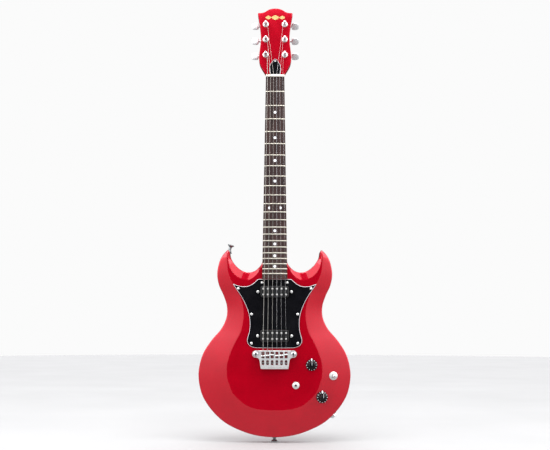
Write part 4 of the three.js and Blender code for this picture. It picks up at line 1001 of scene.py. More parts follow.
print(FRETS, "frets:", len(make_frets().data.polygons), "faces")

# %% [markdown]
# The dots are plain discs, halfway between two frets. They are a hair proud of the wood, so that the two surfaces
# never share a plane, which would flicker.

# %% Dots
def make_dots():
    """Discs of pearl let in halfway between two frets, a hair proud of the wood."""
    dots = []
    for number in DOT_FRETS:
        down = (fret_down(number) + fret_down(number - 1)) / 2
        for x in ((-TWIN_DOTS, TWIN_DOTS) if number == 12 else (0,)):
            dots.append(rod((x, BOARD_TOP + drop(x) - 0.04, -down), (x, BOARD_TOP + 2, -down), DOT_RADIUS, 32))
    return keep("fret_dots", merged(*dots), pearl, weld=0)


make_dots()
print(len(DOT_FRETS) + 1, "dots")

# %% [markdown]
# The nut is a slip of bone, rounded over towards the headstock, with a slot for each string. The slots are sawn with
# thin cutters, just wide enough for their string, so that the strings lie in them and don't stand on top.

# %% Nut
STRING_SIZES = [1.17, 0.91, 0.66, 0.46, 0.36, 0.28]
NUT_SPREAD, SADDLE_SPREAD = 35.5, 51
NUT_HALF, NUT_CREST = 21.5, [(0.3, -8.7), (0.7, -9.1), (2.2, -9.2), (3.8, -8.9), (4.8, -8.1), (5.2, -7.0)]
NUT_SLOT, SLOT_FREEDOM = -7.9, 0.1


def string_x(index, spread):
    """Where a string lies across the neck, given the distance between the outer two."""
    return spread * (index / 5 - 0.5)


def make_nut():
    """Six sections rounded over towards the headstock, with a slot sawn for each string."""
    across = [NUT_HALF * (1 - i / 10) for i in range(21)]
    rings = [[Vector((-NUT_HALF, BOARD_UNDER, z)), Vector((NUT_HALF, BOARD_UNDER, z))] +
             [Vector((x, top + drop(x), z)) for x in across] for z, top in NUT_CREST]
    nut = keep("nut_bone", lofted(rings), bone, replaces=["nut"])
    slots = []
    for i, size in enumerate(STRING_SIZES):
        x = string_x(i, NUT_SPREAD)
        half = size / 2 + SLOT_FREEDOM
        slots.append(bar((x - half, -11, -1), (x + half, NUT_SLOT + drop(x) + SLOT_FREEDOM, 7)))
    return carve(nut, slots)


print("nut:", len(make_nut().data.polygons), "faces")

# %% [markdown]
# ## Pickguard and truss-rod cover
# Both are sawn from three-ply sheet, black, white, black, and their edges are bevelled at a slant so that the white
# middle shows as a thin line all round. The bevel operator can give its new faces another material, and that is the
# whole trick: the face stays black and the bevel is white.

# %% Pickguard
GUARD_FRONT, GUARD_BACK = 1.3, 3.7
GUARD_TOP = [(37.2, 468.7), (49.8, 479.6), (61, 484.6), (73, 485), (84, 482.8), (92.4, 479.4)]
GUARD_SIDE = [(93, 480.4), (85, 492), (74.5, 507.5), (64.5, 526.5), (57.5, 546), (54.9, 566), (56.2, 585),
              (59.5, 597), (60.8, 604.5), (58.8, 612), (52.8, 617.6), (43.8, 620.4), (30, 621), (0, 621.2)]
GUARD_SCREWS = [(81.5, 489.7), (28, 476.3), (51.4, 546.7), (51.3, 610.6)]
HEIGHT_SCREW_X = 37.4
SHARP = math.radians(25)
COVER_FRONT, COVER_BACK = -2.3, -0.3
COVER_SIDE = [(11.3, 0.8), (12.4, 6), (13.4, 13), (13.2, 20), (11, 27), (6.8, 34), (2.6, 39.2), (0, 40.4)]


def make_pickguard():
    """The sheet with a white bevel, two pickup windows and the holes of the height screws."""
    half = [(0, -468.7)] + [(x, -d) for x, d in smooth_line(GUARD_TOP, 5) + smooth_line(GUARD_SIDE, 6)]
    guard = keep("pickguard_sheet", sheet(both_sides(half), GUARD_FRONT, GUARD_BACK, 1.1, 1, edge_material=1),
                 [sheet_black, ply_white], replaces=["pickguard"], gentle=SHARP)
    tools = []
    for at, height, _ in PICKUPS.values():
        tools.append(sheet(box_outline(63, height + 1, 4.5, 0, -at), -5, 9))
        tools += [rod((side * HEIGHT_SCREW_X, -5, -at), (side * HEIGHT_SCREW_X, 9, -at), 1.9) for side in (-1, 1)]
    return carve(guard, tools, gentle=SHARP)


def make_truss_cover():
    """A small leaf of the same sheet on the tilted headstock."""
    cover = sheet(both_sides(smooth_line(COVER_SIDE, 5)), COVER_FRONT, COVER_BACK, 0.8, 1, edge_material=1)
    return keep("truss_cover_sheet", place(cover, HEAD_TILT, HEAD_START), [sheet_black, ply_white],
                replaces=["truss_rod_cover"], gentle=SHARP)


print("pickguard:", len(make_pickguard().data.polygons), "faces")
print("truss-rod cover:", len(make_truss_cover().data.polygons), "faces")

# %% [markdown]
# ## Strings
# Each string runs dead straight between its contact points: post, nut slot, saddle, and down to the ball end inside
# the bridge. The three bass strings are wound. Round each post the string makes a few tight turns; those turns ride
# on the post's own body, so that they go round with it when the guitar is tuned.

# %% Strings and windings
POST_RADIUS, POST_WAIST = 3.0, 2.6
SADDLES = [638, 637, 635.7, 637.4, 636.6, 635]
SADDLE_TOP = -11.3
BALL_DOWN, BALL_DEPTH = 653, -2
WIRE_END = -5.4
WINDING_START = WIRE_END - 0.1


def string_metal(index):
    """The three bass strings are wound, the others plain."""
    return wound_wire if index < 3 else plain_steel


def make_string(index):
    """The speaking length and what lies beyond it, from beside the post to the ball end."""
    radius = STRING_SIZES[index] / 2
    nut_x, saddle_x = string_x(index, NUT_SPREAD), string_x(index, SADDLE_SPREAD)
    _, side, up = tuner_places()[index]
    nut_y = NUT_SLOT + drop(nut_x) - radius
    saddle_y = SADDLE_TOP + drop(saddle_x) - radius
    path = [
        on_headstock(side * POST_X - side * (POST_RADIUS + radius + 0.25), WIRE_END, up),
        (nut_x, nut_y, 4.6),
        (nut_x, nut_y - 0.05, 0.6),
        (saddle_x, saddle_y, -(SADDLES[index] - 1.2)),
        (saddle_x, saddle_y + 0.25, -(SADDLES[index] + 1.5)),
        (saddle_x, BALL_DEPTH, 0.4 - BALL_DOWN),
    ]
    wire = swept(path, radius, 12)
    ball = place(turned(rounded([(1.0, -1.8), (1.9, -1.8), (1.9, 1.8), (1.0, 1.8), (1.0, -1.8)], 0.5), 20),
                 Matrix.Rotation(math.pi / 2, 3, "Z"), (saddle_x, BALL_DEPTH, -BALL_DOWN))
    keep(f"string_{index + 1}_wire", merged(wire, ball), [string_metal(index), turned_brass], weld=0,
         replaces=[f"string_{index + 1}"])


def make_turns(index):
    """Two or three turns of string round the waist of its post, and the end that passes through it."""
    radius = STRING_SIZES[index] / 2
    number, side, up = tuner_places()[index]
    reach = POST_WAIST + radius
    turns, steps = 2 if index < 3 else 3, 20
    helix = []
    for i in range(turns * steps + 1):
        angle = 2 * math.pi * i / steps
        depth = WINDING_START - 2 * radius - STRING_SIZES[index] * 1.04 * i / steps
        helix.append(Vector((-side * reach * math.cos(angle), depth, reach * math.sin(angle))))
    tail = [Vector((-side * reach * 0.4, helix[-1].y - 0.5, 0)), Vector((side * (reach + 0.8), helix[-1].y - 0.5, 0))]
    coil = place(swept(helix + tail, radius, 8), HEAD_TILT, on_headstock(side * POST_X, 0, up))
    keep(f"string_{index + 1}_turns", coil, string_metal(index), body=f"tuner_{number}_post", weld=0)


for index in range(6):
    make_string(index)
    make_turns(index)
print("six strings")

# %% [markdown]
# ## Tuners
# Sealed die-cast tuners: a rounded gearbox screwed to the back, a threaded sleeve with a washer and a hexagonal bush in
# front, a post with a dimpled top, and a button shaped like a kidney on a worm shaft. One of each is modelled in the
# tuner's own frame, mirrored for the right side, and placed six times, because the six are the same casting.

# %% Tuner parts
WORM_DEPTH, WORM_UP = 19.5, 5.6
BUTTON_TURNS = {-1: 0, 1: math.radians(52)}
# distance from the post, half length and half thickness of each slice of a button
BUTTON_SLICES = [(17.0, 4.6, 1.7), (17.3, 6.6, 2.3), (18.4, 8.2, 2.9), (21, 9.0, 3.1), (26, 9.0, 3.1), (30, 8.3, 3.0),
                 (32.3, 6.8, 2.5), (33.2, 5.0, 1.8), (33.5, 3.0, 1.0)]


def tuner_washer():
    """The dished washer between the bush and the lacquer."""
    return turned(rounded([(3.5, -0.1), (7, -0.1), (7, -1.2), (6.2, -1.75), (3.5, -1.75), (3.5, -0.1)], 0.5), 40)


def tuner_bush():
    """The hexagonal bush in front, with its sleeve through the wood, drilled for the post."""
    bush = turned(rounded([(3.3, -1.8), (3.3, -4.7), (4.1, -4.9), (5.2, -4.3), (5.5, -1.8), (3.3, -1.8)], 0.3), 6)
    return merged(bush, turned([(3.3, -4.0), (3.3, 14), (4.7, 14), (4.7, -1.0)], 24))


def tuner_back(side):
    """The gearbox with its worm boss, collar and cap, and the lug with the screw that holds it."""
    box = sheet(box_outline(16, 21, 3.4, 0, 2.2), 26.3, 14.2, 1.6, 4)
    boss = rod((side * 6.5, WORM_DEPTH, WORM_UP), (side * 11.6, WORM_DEPTH, WORM_UP), 3.9, 32, 3.3)
    collar = place(turned(rounded([(2.0, 0), (3.3, 0), (3.3, 1.2), (2.0, 1.2)], 0.3), 32),
                   Matrix.Rotation(-side * math.pi / 2, 3, "Z"), (side * 11.5, WORM_DEPTH, WORM_UP))
    lug = sheet(round_corners([(-4, -8), (4, -8), (4, -14.5), (-4, -14.5)], 3.2), 15.6, 14.2, 0.5, 2)
    head = place(screw_head(2.6), Matrix.Rotation(math.pi, 3, "Z"), (0, 15.7, -11.5))
    cap = place(turned(rounded([(0, 0), (3.6, 0), (3.6, 0.5), (0, 0.9)], 0.3), 32), None, (0, 26.2, 0))
    return merged(box, boss, collar, lug, head, cap)


def screw_head(radius):
    """A domed screw head that faces -Y, standing on the plane y = 0."""
    return turned(rounded([(0, -radius * 0.52), (radius * 0.55, -radius * 0.42), (radius, -0.12), (radius, 0.1),
                           (0, 0.1)], radius * 0.25), 28)


def cross(radius, depth=1.2, wide=0.5):
    """The two cutters of a cross recess."""
    return [bar((-radius * 0.62, -depth, -wide / 2), (radius * 0.62, depth, wide / 2)),
            bar((-wide / 2, -depth * 1.01, -radius * 0.62), (wide / 2, depth * 0.99, radius * 0.62))]

print("a screw head has", len(screw_head(2).faces), "faces")

# %% [markdown]
# Two parts of a tuner move. The post has a gear wheel inside the box and a waist where the string lies. The button is
# skinned from rounded slices across its shaft, thin at the ends and plump in the middle.

# %% Tuner post and button
def tuner_post():
    """The post with its gear wheel inside the box, a waist for the string and a dimpled top."""
    gear = (3.8, WORM_DEPTH - 2.2, WORM_DEPTH + 2.2)
    profile = [(0, gear[2]), (gear[0], gear[2]), (gear[0], gear[1]), (POST_RADIUS - 0.1, gear[1]),
               (POST_RADIUS - 0.1, -4.8), (POST_WAIST, -5.2), (POST_WAIST, -10.4), (POST_RADIUS, -11.6),
               (POST_RADIUS, -14.5), (POST_RADIUS - 0.8, -15), (1.2, -15), (0.9, -14.2), (0, -14.1)]
    return turned(rounded(profile, 0.3), 32)


def tuner_button(side):
    """A plump kidney: slices across the shaft, each a rounded lozenge, from the collar out to the tip."""
    angles = [2 * math.pi * k / 40 for k in range(40)]
    rings = [[(side * x, thick * bent(math.sin(a), 0.9), half * bent(math.cos(a), 0.8)) for a in angles]
             for x, half, thick in BUTTON_SLICES]
    neck_of_button = place(turned(rounded([(1.6, -4), (1.6, 12), (2.7, 12.4), (2.7, 15.5), (3.4, 17.6), (0, 17.6)],
                                          0.5), 28), Matrix.Rotation(-side * math.pi / 2, 3, "Z"))
    screw = place(screw_head(1.9), Matrix.Rotation(side * math.pi / 2, 3, "Z"), (side * 33.2, 0, 0))
    return merged(lofted(rings), neck_of_button, screw)


def make_tuner(number, side, up):
    """Place one set: what is fixed to the wood, the post and the button."""
    spot = on_headstock(side * POST_X, 0, up)
    keep(f"tuner_{number}_casting", place(merged(tuner_washer(), tuner_back(side)), HEAD_TILT, spot), satin_nickel,
         weld=0, replaces=[f"tuner_{number}_housing"])
    keep(f"tuner_{number}_bush", place(tuner_bush(), HEAD_TILT, spot), chrome, weld=0)
    keep(f"tuner_{number}_pin", place(tuner_post(), HEAD_TILT, spot), chrome, body=f"tuner_{number}_post",
         replaces=[f"tuner_{number}_post"])
    turn = HEAD_TILT @ Matrix.Rotation(BUTTON_TURNS[side], 3, "X")
    worm = on_headstock(side * POST_X, WORM_DEPTH, up + WORM_UP)
    keep(f"tuner_{number}_knob", place(tuner_button(side), turn, worm), button_nickel, body=f"tuner_{number}_button",
         replaces=[f"tuner_{number}_button"], weld=0)


for number, side, up in tuner_places():
    make_tuner(number, side, up)
print("six tuners")

# %% [markdown]
# ## Pickups
# Each pickup has a moulded cover with twelve pole pieces. One row are slotted screws, which set the height under each
# string, and the other row are plain slugs. The cover is a shell, so it gets real walls, and the pickup hangs from two
# screws through the pickguard, on which it can be raised and lowered.

# %% Pickups
PICKUP_WIDTH, PICKUP_DEPTH, PICKUP_WALL, PICKUP_CORNER = 62, 17, 1, 4.2
POLE_PITCH, POLE_ROW, POLE_HOLE = 10.1, 6.5, 2.35
SCREW_LENGTH = 21.4


def pole_places(at):
    """Two rows of six poles about the middle of a pickup, the slotted screws first."""
    return [((i - 2.5) * POLE_PITCH, -at + row * POLE_ROW) for row in (-1, 1) for i in range(6)]


def make_pickup(name, at, height, front):
    """A hollow cover, its poles, and the two screws that it hangs from."""
    cover = sheet(box_outline(PICKUP_WIDTH, height, PICKUP_CORNER, 0, -at, 8), front, front + PICKUP_DEPTH, 1.1, 4)
    shell = keep(f"{name}_pickup_shell", cover, pickup_plastic, body=f"{name}_pickup",
                 replaces=[f"{name}_pickup_cover"])
    hollow = box_outline(PICKUP_WIDTH - 2 * PICKUP_WALL, height - 2 * PICKUP_WALL, 3.4, 0, -at)
    holes = [rod((x, front - 2, z), (x, front + 3, z), POLE_HOLE) for x, z in pole_places(at)]
    carve(shell, [sheet(hollow, front + PICKUP_WALL, front + PICKUP_DEPTH + 1), *holes])
    pole = rounded([(0, -0.75), (1.5, -0.65), (2.2, -0.1), (2.2, 6), (0, 6)], 0.4)
    poles = [place(turned(pole, 24), None, (x, front, z)) for x, z in pole_places(at)]
    pins = keep(f"{name}_pickup_poles", merged(*poles), satin_nickel, body=f"{name}_pickup", weld=0)
    carve(pins, [bar((x - 0.3, front - 2, z - 3), (x + 0.3, front - 0.25, z + 3)) for x, z in pole_places(at)[:6]])
    for side, label in ((-1, "left"), (1, "right")):
        spot = Vector((side * HEIGHT_SCREW_X, 0, -at))
        tip = front + SCREW_LENGTH
        head = turned(rounded([(0, tip + 0.3), (1.4, tip), (1.4, 0.9), (3.3, 0.9), (3.3, 0.3), (2.4, -0.7),
                               (0, -1.05)], 0.4), 28)
        screw = keep(f"{name}_height_{label}", place(head, None, spot), satin_nickel,
                     body=f"{name}_height_screw_{label}", replaces=[f"{name}_height_screw_{label}"])
        carve(screw, [place(arm, Matrix.Rotation(0.4 + side, 3, "Y"), spot + Vector((0, -0.9, 0)))
                      for arm in cross(3.3)])


for name, (at, height, front) in PICKUPS.items():
    make_pickup(name, at, height, front)
print("two pickups with", len(pole_places(0)), "poles each")

# %% [markdown]
# The sheets are held by small wood screws with a cross recess. All of them have the same domed head: each is placed on
# its surface with its cross at an angle of its own, because nobody lines screws up by eye.

# %% Pickguard and cover screws
GUARD_SCREW, COVER_SCREW = 2.8, 1.9


def fixing_screw(name, spot, turn, radius, angle, replaces=()):
    """A domed screw head with a cross recess, on the surface at a spot, facing along the turned -Y."""
    head = keep(name, place(screw_head(radius), turn, spot), satin_nickel, replaces=replaces)
    spin = (turn or Matrix.Identity(3)) @ Matrix.Rotation(angle, 3, "Y")
    top = Vector(spot) + spin @ Vector((0, -radius * 0.5, 0))
    return carve(head, [place(arm, spin, top) for arm in cross(radius, 0.7, 0.42)])


for number, (x, down) in enumerate([(side * x, d) for x, d in GUARD_SCREWS for side in (-1, 1)]):
    fixing_screw(f"pickguard_screw_{number + 1}", (x, GUARD_FRONT, -down), None, GUARD_SCREW, 0.7 * number)
fixing_screw("truss_cover_screw_head", on_headstock(0, COVER_FRONT, 34.5), HEAD_TILT, COVER_SCREW, 0.5,
             replaces=["truss_cover_screw"])
print(2 * len(GUARD_SCREWS), "pickguard screws and one cover screw")

# %% [markdown]
# ## Bridge
# The combined bridge and tailpiece is one casting: a plate with round ears that hang on two studs, pierced by three
# rows of windows, with a stepped row of saddle ridges. A casting has thick rounded edges, so the plate is cut from its
# outline first and its windows are cut through it afterwards. The studs are turned, domed, and slotted for a coin.

# %% Bridge
BRIDGE_SIDE = [(30.2, 666.4), (31.2, 660), (32.4, 651.5), (33.4, 646.6), (35.6, 643.4), (38.6, 642)]
BRIDGE_FRONT, BRIDGE_UNDER, EAR_FRONT = -8.6, 2.2, -5.2
BRIDGE_HEAD, BRIDGE_FOOT = 626, 666.6
EAR_RADIUS = 7.9
SADDLE_HALF = 1.3


def bridge_outline():
    """Up the tapering side, round the ear in one arc, and straight across the top."""
    angles = [math.radians(a) for a in range(-75, 106, 15)]
    ear = [(STUD_X + EAR_RADIUS * math.cos(a), -STUD_DOWN + EAR_RADIUS * math.sin(a)) for a in angles]
    return both_sides([(0, -BRIDGE_FOOT)] + [(x, -d) for x, d in BRIDGE_SIDE] + ear + [(0, -BRIDGE_HEAD)])


def bridge_windows():
    """Cutters of the three rows of windows behind, between and below the saddles."""
    tools = []
    for index, saddle in enumerate(SADDLES):
        x = string_x(index, SADDLE_SPREAD)
        rows = [(-(saddle - SADDLE_HALF), -629, 3.3, 0.9), (-643.2, -(saddle + SADDLE_HALF), 3.3, 0.9),
                (-657.8, -647.2, 2.8, 2)]
        for low, high, half, radius in rows:
            corners = round_corners([(x - half, low), (x + half, low), (x + half, high), (x - half, high)], radius)
            tools.append(sheet(corners, -12, 6))
    return tools


def saddle_ridge(index):
    """One stepped ridge with a groove for its string."""
    x, down, size = string_x(index, SADDLE_SPREAD), SADDLES[index], STRING_SIZES[index]
    top = SADDLE_TOP + 0.4 + drop(x)
    ridge = [(-SADDLE_HALF, BRIDGE_FRONT + 1.5), (-SADDLE_HALF, top + 0.9), (-0.4, top), (0.4, top),
             (SADDLE_HALF, top + 0.9), (SADDLE_HALF, BRIDGE_FRONT + 1.5)]
    rings = [[(x + offset, y, z - down) for z, y in ridge] for offset in (-4, 4)]
    saddle = keep(f"saddle_{index + 1}", lofted(rings), cast_aluminium)
    groove = top - size * 0.2
    carve(saddle, [rod((x, groove, -down - 3), (x, groove, 3 - down), size / 2 + 0.05, 16)])


def make_bridge():
    """The plate, its ears cut down to their own height, their stud holes, the windows and a fine line below."""
    casting = keep("bridge_casting", sheet(bridge_outline(), BRIDGE_FRONT, BRIDGE_UNDER, 0.9, 3), cast_aluminium,
                   replaces=["bridge"])
    tools = bridge_windows()
    for x in (-STUD_X, STUD_X):
        tools.append(rod((x, -20, -STUD_DOWN), (x, EAR_FRONT, -STUD_DOWN), EAR_RADIUS + 1.4, 48))
        tools.append(rod((x, -20, -STUD_DOWN), (x, 12, -STUD_DOWN), 3.2, 32))
    tools.append(bar((-29.4, BRIDGE_FRONT - 1, -662.7), (29.4, BRIDGE_FRONT + 0.45, -662.1)))
    carve(casting, tools)
    for index in range(6):
        saddle_ridge(index)


def make_stud(side, name):
    """A turned stud with a collar that carries the ear and a domed, slotted head."""
    spot = (side * STUD_X, 0, -STUD_DOWN)
    profile = [(0, 19), (3.4, 18.6), (3.4, 3.1), (5.2, 3.1), (5.2, 2.5), (2.9, 2.5), (2.9, -5.5), (6, -5.5), (6, -6.6),
               (4.6, -8.3), (2.4, -8.95), (0, -9.1)]
    stud = keep(f"stud_{name}", place(turned(rounded(profile, 0.5), 48), None, spot), chrome,
                replaces=[f"bridge_stud_{name}"])
    carve(stud, [bar((spot[0] - 0.8, -20, spot[2] - 7), (spot[0] + 0.8, -7.5, spot[2] + 7))])


make_bridge()
make_stud(-1, "left")
make_stud(1, "right")
print("bridge, six saddle ridges and two studs")

# %% [markdown]
# ## Knobs and switches
# The knobs are turned shapes moulded in plastic: a skirt with eleven printed marks and a grip with a raised pointer
# ridge. The marks are real thin strips that lie on the sloping skirt, so they turn with the knob. A small silver
# pointer is pressed into the skirt at twelve o'clock.

# %% Knobs
KNOB_RADIUS, KNOB_CAP, KNOB_TOP = 12.8, 7.6, -18.0


def tapered(sections):
    """A bar that points up, from (half width, front, back, height) sections."""
    return lofted([[(-half, front, z), (half, front, z), (half, back, z), (-half, back, z)]
                   for half, front, back, z in sections])


def skirt_strip(angle, inner, outer, half, lift):
    """A thin raised strip along the sloping skirt at an angle from twelve o'clock."""
    (r1, y1), (r2, y2) = inner, outer
    strip = tapered([(half, y1 - lift, y1 + 0.5, r1), (half, y2 - lift, y2 + 0.5, r2)])
    return place(strip, Matrix.Rotation(angle, 3, "Y"))


def make_knob(name):
    """A turned core with its ridge, the printed marks, and the bright pointer."""
    spot, turn = control_turn(name)
    profile = [(10.4, 0.6), (10.4, -0.8), (KNOB_RADIUS, -0.8), (KNOB_RADIUS, -2), (KNOB_RADIUS - 1, -5),
               (KNOB_CAP + 1.2, -6.2), (KNOB_CAP, -8), (KNOB_CAP - 0.6, KNOB_TOP + 1.2), (KNOB_CAP - 2, KNOB_TOP + 0.4),
               (0, KNOB_TOP + 0.4)]
    core = turned(rounded(profile, 0.7, 4), 72)
    ridge = bar((-1.6, KNOB_TOP, -KNOB_CAP - 2.2), (1.6, -6.4, KNOB_CAP + 2.2), 0.6, 3)
    keep(f"{name}_grip", place(merged(core, ridge), turn, spot), moulded_black, body=name, weld=0,
         replaces=[f"{name}_knob"])
    marks = [skirt_strip(math.radians(30 * k), (KNOB_CAP + 2.3, -6.05), (KNOB_RADIUS - 0.9, -5.1), 0.42, 0.12)
             for k in range(1, 12)]
    line = bar((-0.3, KNOB_TOP - 0.08, 0.5), (0.3, KNOB_TOP + 0.4, KNOB_CAP + 1.6))
    keep(f"{name}_marks", place(merged(*marks, line), turn, spot), mark_white, body=name, weld=0)
    pointer = tapered([(1.6, -6.6, -5.2, 9.4), (1.2, -4.6, -3.4, 13.2), (0.5, -3.8, -3.2, 14.6)])
    keep(f"{name}_pointer", place(pointer, turn, spot), chrome, body=name, weld=0)


for name in ("volume", "tone"):
    make_knob(name)
print("two knobs, each with a pointer and eleven marks")

# %% [markdown]
# Both switches are bat-handle toggles behind a bright dress nut. The nut is a shallow cone with a knurled rim, which
# sends light sideways, so it looks bright where a flat one would mirror the dark room. The handle tapers down to the
# ball on which it rocks, and only that part rides on the lever's body.

# %% Switches
SWITCH_BOXES = {"selector": (17, 26, 13), "coil_switch": (13, 8, 9)}  # width, height and depth of the case
# radii of the washer, the bushing and its mouth, of the lever's stem and tip, and how far the lever reaches out
SWITCHES = {"selector": (9.3, 5.8, 4.4, 1.6, 4.6, 17), "coil_switch": (7.9, 3.4, 2.5, 1.05, 1.9, 12)}
BOX_FRONT = 5.3
KNURL_DEPTH, KNURL_TEETH = 0.3, 36

print(len(SWITCHES), "switches to make")

# %% [markdown]
# Knurling is rolled into the nut's rim. Moving every second point of the rim inwards is enough to catch the light.

# %% Knurled nut, case and handle
def knurled(profile, teeth):
    """A turned ring whose outermost points go in and out, tooth by tooth."""
    bm = turned(profile, teeth * 2)
    widest = max(r for r, _ in profile)
    for vert in bm.verts:
        radius = math.hypot(vert.co.x, vert.co.z)
        tooth = round(math.atan2(vert.co.z, vert.co.x) * teeth / math.pi)
        if radius > widest - 0.05 and tooth % 2:
            vert.co.x *= 1 - KNURL_DEPTH / radius
            vert.co.z *= 1 - KNURL_DEPTH / radius
    return bm


def make_switch(name):
    """The dress nut and the case stay on the body; the handle rocks about its ball."""
    washer, bushing, mouth, stem, tip, reach = SWITCHES[name]
    spot, turn = control_turn(name)
    nut = knurled(rounded([(mouth, -0.05), (washer, -0.05), (washer, -1.1), (bushing + 0.8, -2.0), (bushing, -2.2),
                           (bushing - 0.3, -3.3), (mouth + 0.2, -3.4), (mouth, -2.9), (mouth, 5.5)], 0.3), KNURL_TEETH)
    keep(f"{name}_dress_nut", place(nut, turn, spot), satin_nickel, replaces=[f"{name}_case"], weld=0)
    wide, high, deep = SWITCH_BOXES[name]
    box = bar((-wide / 2, BOX_FRONT, -high / 2), (wide / 2, BOX_FRONT + deep, high / 2), 0.5, 2)
    lugs = [bar((offset - 0.5, BOX_FRONT + deep - 0.5, -1.6), (offset + 0.5, BOX_FRONT + deep + 3.5, 1.6), 0.15, 1)
            for offset in (-wide / 3, 0, wide / 3)]
    keep(f"{name}_box", place(merged(box, *lugs), turn, spot), zinc_steel, weld=0)
    ball = mouth - 0.6
    profile = [(0, 7.5), (stem, 7.5), (ball * 0.8, 5.2), (ball, 3.2), (ball * 0.75, 1.4), (stem, 0.2),
               (stem, -reach * 0.42), (tip * 0.75, -reach * 0.5), (tip, -reach * 0.8), (tip * 0.85, -reach * 0.94),
               (tip * 0.4, -reach), (0, -reach - 0.1)]
    handle = turned([tuple(p) for p in smooth_line(profile, 4)], 36)
    keep(f"{name}_handle", place(handle, turn, spot), chrome if name == "selector" else moulded_black,
         body=f"{name}_lever", replaces=[f"{name}_lever"], weld=0)


for name in SWITCHES:
    make_switch(name)
print("two toggle switches")

# %% [markdown]
# ## Jack, strap buttons and the back
# The output jack sits in the lower rim, held by a washer and a hexagonal nut; its bore is open, as a plug needs. The
# strap buttons are waisted, turned and plated, held by a countersunk screw; felt keeps the upper one off the lacquer.

# %% Jack
JACK_SPOT, JACK_OUTWARD = Vector((130.3, 30, -768.6)), Vector((0.6852, 0, -0.7284))
UPPER_SPOT, UPPER_OUTWARD = Vector((-105.3, 30, -407)), Vector((0.2756, 0, 0.9613))
END_SPOT, END_OUTWARD = Vector((0, 30, -815)), Vector((0, 0, -1))
UPPER_HEIGHT, END_HEIGHT, FELT = 19, 11, 1.9


def make_jack():
    """A sleeve with an open bore, its washer and its hexagonal nut."""
    sleeve = turned(rounded([(3.3, 24), (3.3, -4.2), (3.7, -4.6), (5.1, -4.6), (5.5, -4.2), (5.5, 24), (3.3, 24)],
                            0.3), 40)
    washer = turned(rounded([(5.3, -0.3), (7.9, -0.3), (7.9, -1.1), (7.1, -1.6), (5.3, -1.6)], 0.3), 40)
    nut = turned(rounded([(5.3, -1.5), (7.1, -1.5), (7.15, -3.2), (6.2, -3.9), (5.3, -3.9)], 0.25), 6)
    keep("jack_barrel", place(merged(sleeve, washer, nut), facing(JACK_OUTWARD), JACK_SPOT), chrome, weld=0,
         replaces=["output_jack"])

make_jack()
print("jack")

# %% [markdown]
# The strap buttons are one shape in two lengths: a wide foot, a waist for the strap and a round head. The upper one
# stands on a ring of felt.

# %% Strap buttons and felt
def make_strap_button(name, node, spot, outward, height, seat):
    """A waisted button with its screw. The seat is what lies between its foot and the body."""
    profile = [(0, 14), (1.2, 12), (1.9, 9), (1.9, -seat), (5.5, -seat), (5.3, -seat - 1.3), (3.2, -0.4 * height),
               (3, 5.5 - height), (6.5, 2.6 - height), (7.5, 1.8 - height), (7.5, 0.7 - height), (6.5, -height),
               (3.6, -height), (2.6, 1.2 - height), (0, 1.2 - height)]
    button = turned(rounded(profile, 0.8, 4), 48)
    head = place(turned(rounded([(0, -0.9), (1.6, -0.75), (2.5, 0.1), (2.4, 1.4), (0, 1.4)], 0.3), 28), None,
                 (0, 1.4 - height, 0))
    keep(name, place(merged(button, head), facing(outward), spot), zinc_steel, replaces=[node],
         weld=0)


def make_felt_washer():
    """A ring of felt between the upper button and the lacquer."""
    ring = turned(rounded([(2.4, -0.1), (6.9, -0.1), (7.0, -0.9), (6.7, -1.8), (2.4, -1.8), (2.4, -0.1)], 0.4), 56)
    keep("strap_felt_ring", place(ring, facing(UPPER_OUTWARD), UPPER_SPOT), felt_black, replaces=["strap_felt"])


make_strap_button("strap_button_horn", "strap_button_upper", UPPER_SPOT, UPPER_OUTWARD, UPPER_HEIGHT, FELT)
make_strap_button("strap_button_bottom", "strap_button_end", END_SPOT, END_OUTWARD, END_HEIGHT, FIT)
make_felt_washer()
print("two strap buttons and one felt washer")

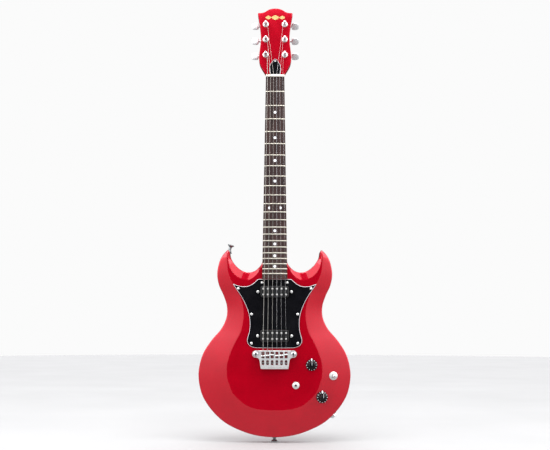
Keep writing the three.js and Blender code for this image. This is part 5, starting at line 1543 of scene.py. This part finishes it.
# %% [markdown]
# The control cavity is closed by a flush plastic cover with a screw at each corner; its outline is the cavity's own,
# grown by the lip that it rests on. The ornament at the top of the headstock is three plain gold lozenges: circles
# whose sine and cosine are raised to a power, given the thickness of foil.

# %% Back cover and ornament
COVER_SCREWS = [(84.5, 636.5), (146, 662.5), (139.5, 728.5), (36, 705.5)]
LOZENGES = [(0, 9, 6.4), (-16.4, 7, 4.6), (16.4, 7, 4.6)]  # middle, half width, half height
ORNAMENT_UP, FOIL_FRONT, FOIL_BACK = 148.5, -0.12, 0.4


def make_cover():
    """The lid, flush with the back, and its screws."""
    plate = sheet(cavity_outline(COVER_LIP), BODY_BACK - COVER_RECESS, BODY_BACK, 0, 1)
    keep("cavity_lid", plate, moulded_black, replaces=["control_cover"])
    back = Matrix.Rotation(math.pi, 3, "Z")
    for number, (x, down) in enumerate(COVER_SCREWS):
        fixing_screw(f"lid_screw_{number + 1}", (x, BODY_BACK, -down), back, GUARD_SCREW, 0.9 * number)


def make_ornament():
    """Three pinched circles of foil."""
    angles = [2 * math.pi * k / 40 for k in range(40)]
    foils = [sheet([(x + wide * bent(math.cos(a), 1.5), ORNAMENT_UP + high * bent(math.sin(a), 1.5)) for a in angles],
                   FOIL_FRONT, FOIL_BACK) for x, wide, high in LOZENGES]
    keep("headstock_ornament", place(merged(*foils), HEAD_TILT, HEAD_START), gold_leaf, weld=0)


make_cover()
make_ornament()
print("cavity lid with", len(COVER_SCREWS), "screws and the ornament")

# %% [markdown]
# Parts deep inside keep their CAD shape, which is all that can ever be seen of them, and only change their finish: the
# truss rod and the potentiometers are zinc-plated steel, the knob shafts and the stud sockets turned brass, and the
# pickups' cores take the wound wire's fine lines of painted shade in the grooves, like the coils that they are.

# %% Hidden hardware
HIDDEN = {"truss_rod": zinc_steel, "volume_pot": zinc_steel, "tone_pot": zinc_steel, "volume_shaft": turned_brass,
          "tone_shaft": turned_brass, "bridge_bushing_left": turned_brass, "bridge_bushing_right": turned_brass,
          "neck_pickup_core": wound_wire, "bridge_pickup_core": wound_wire}
for node, metal in HIDDEN.items():
    materials = frame["nodes"][node].data.materials
    materials.clear()
    materials.append(metal)
print(len(HIDDEN), "hidden CAD parts refinished")
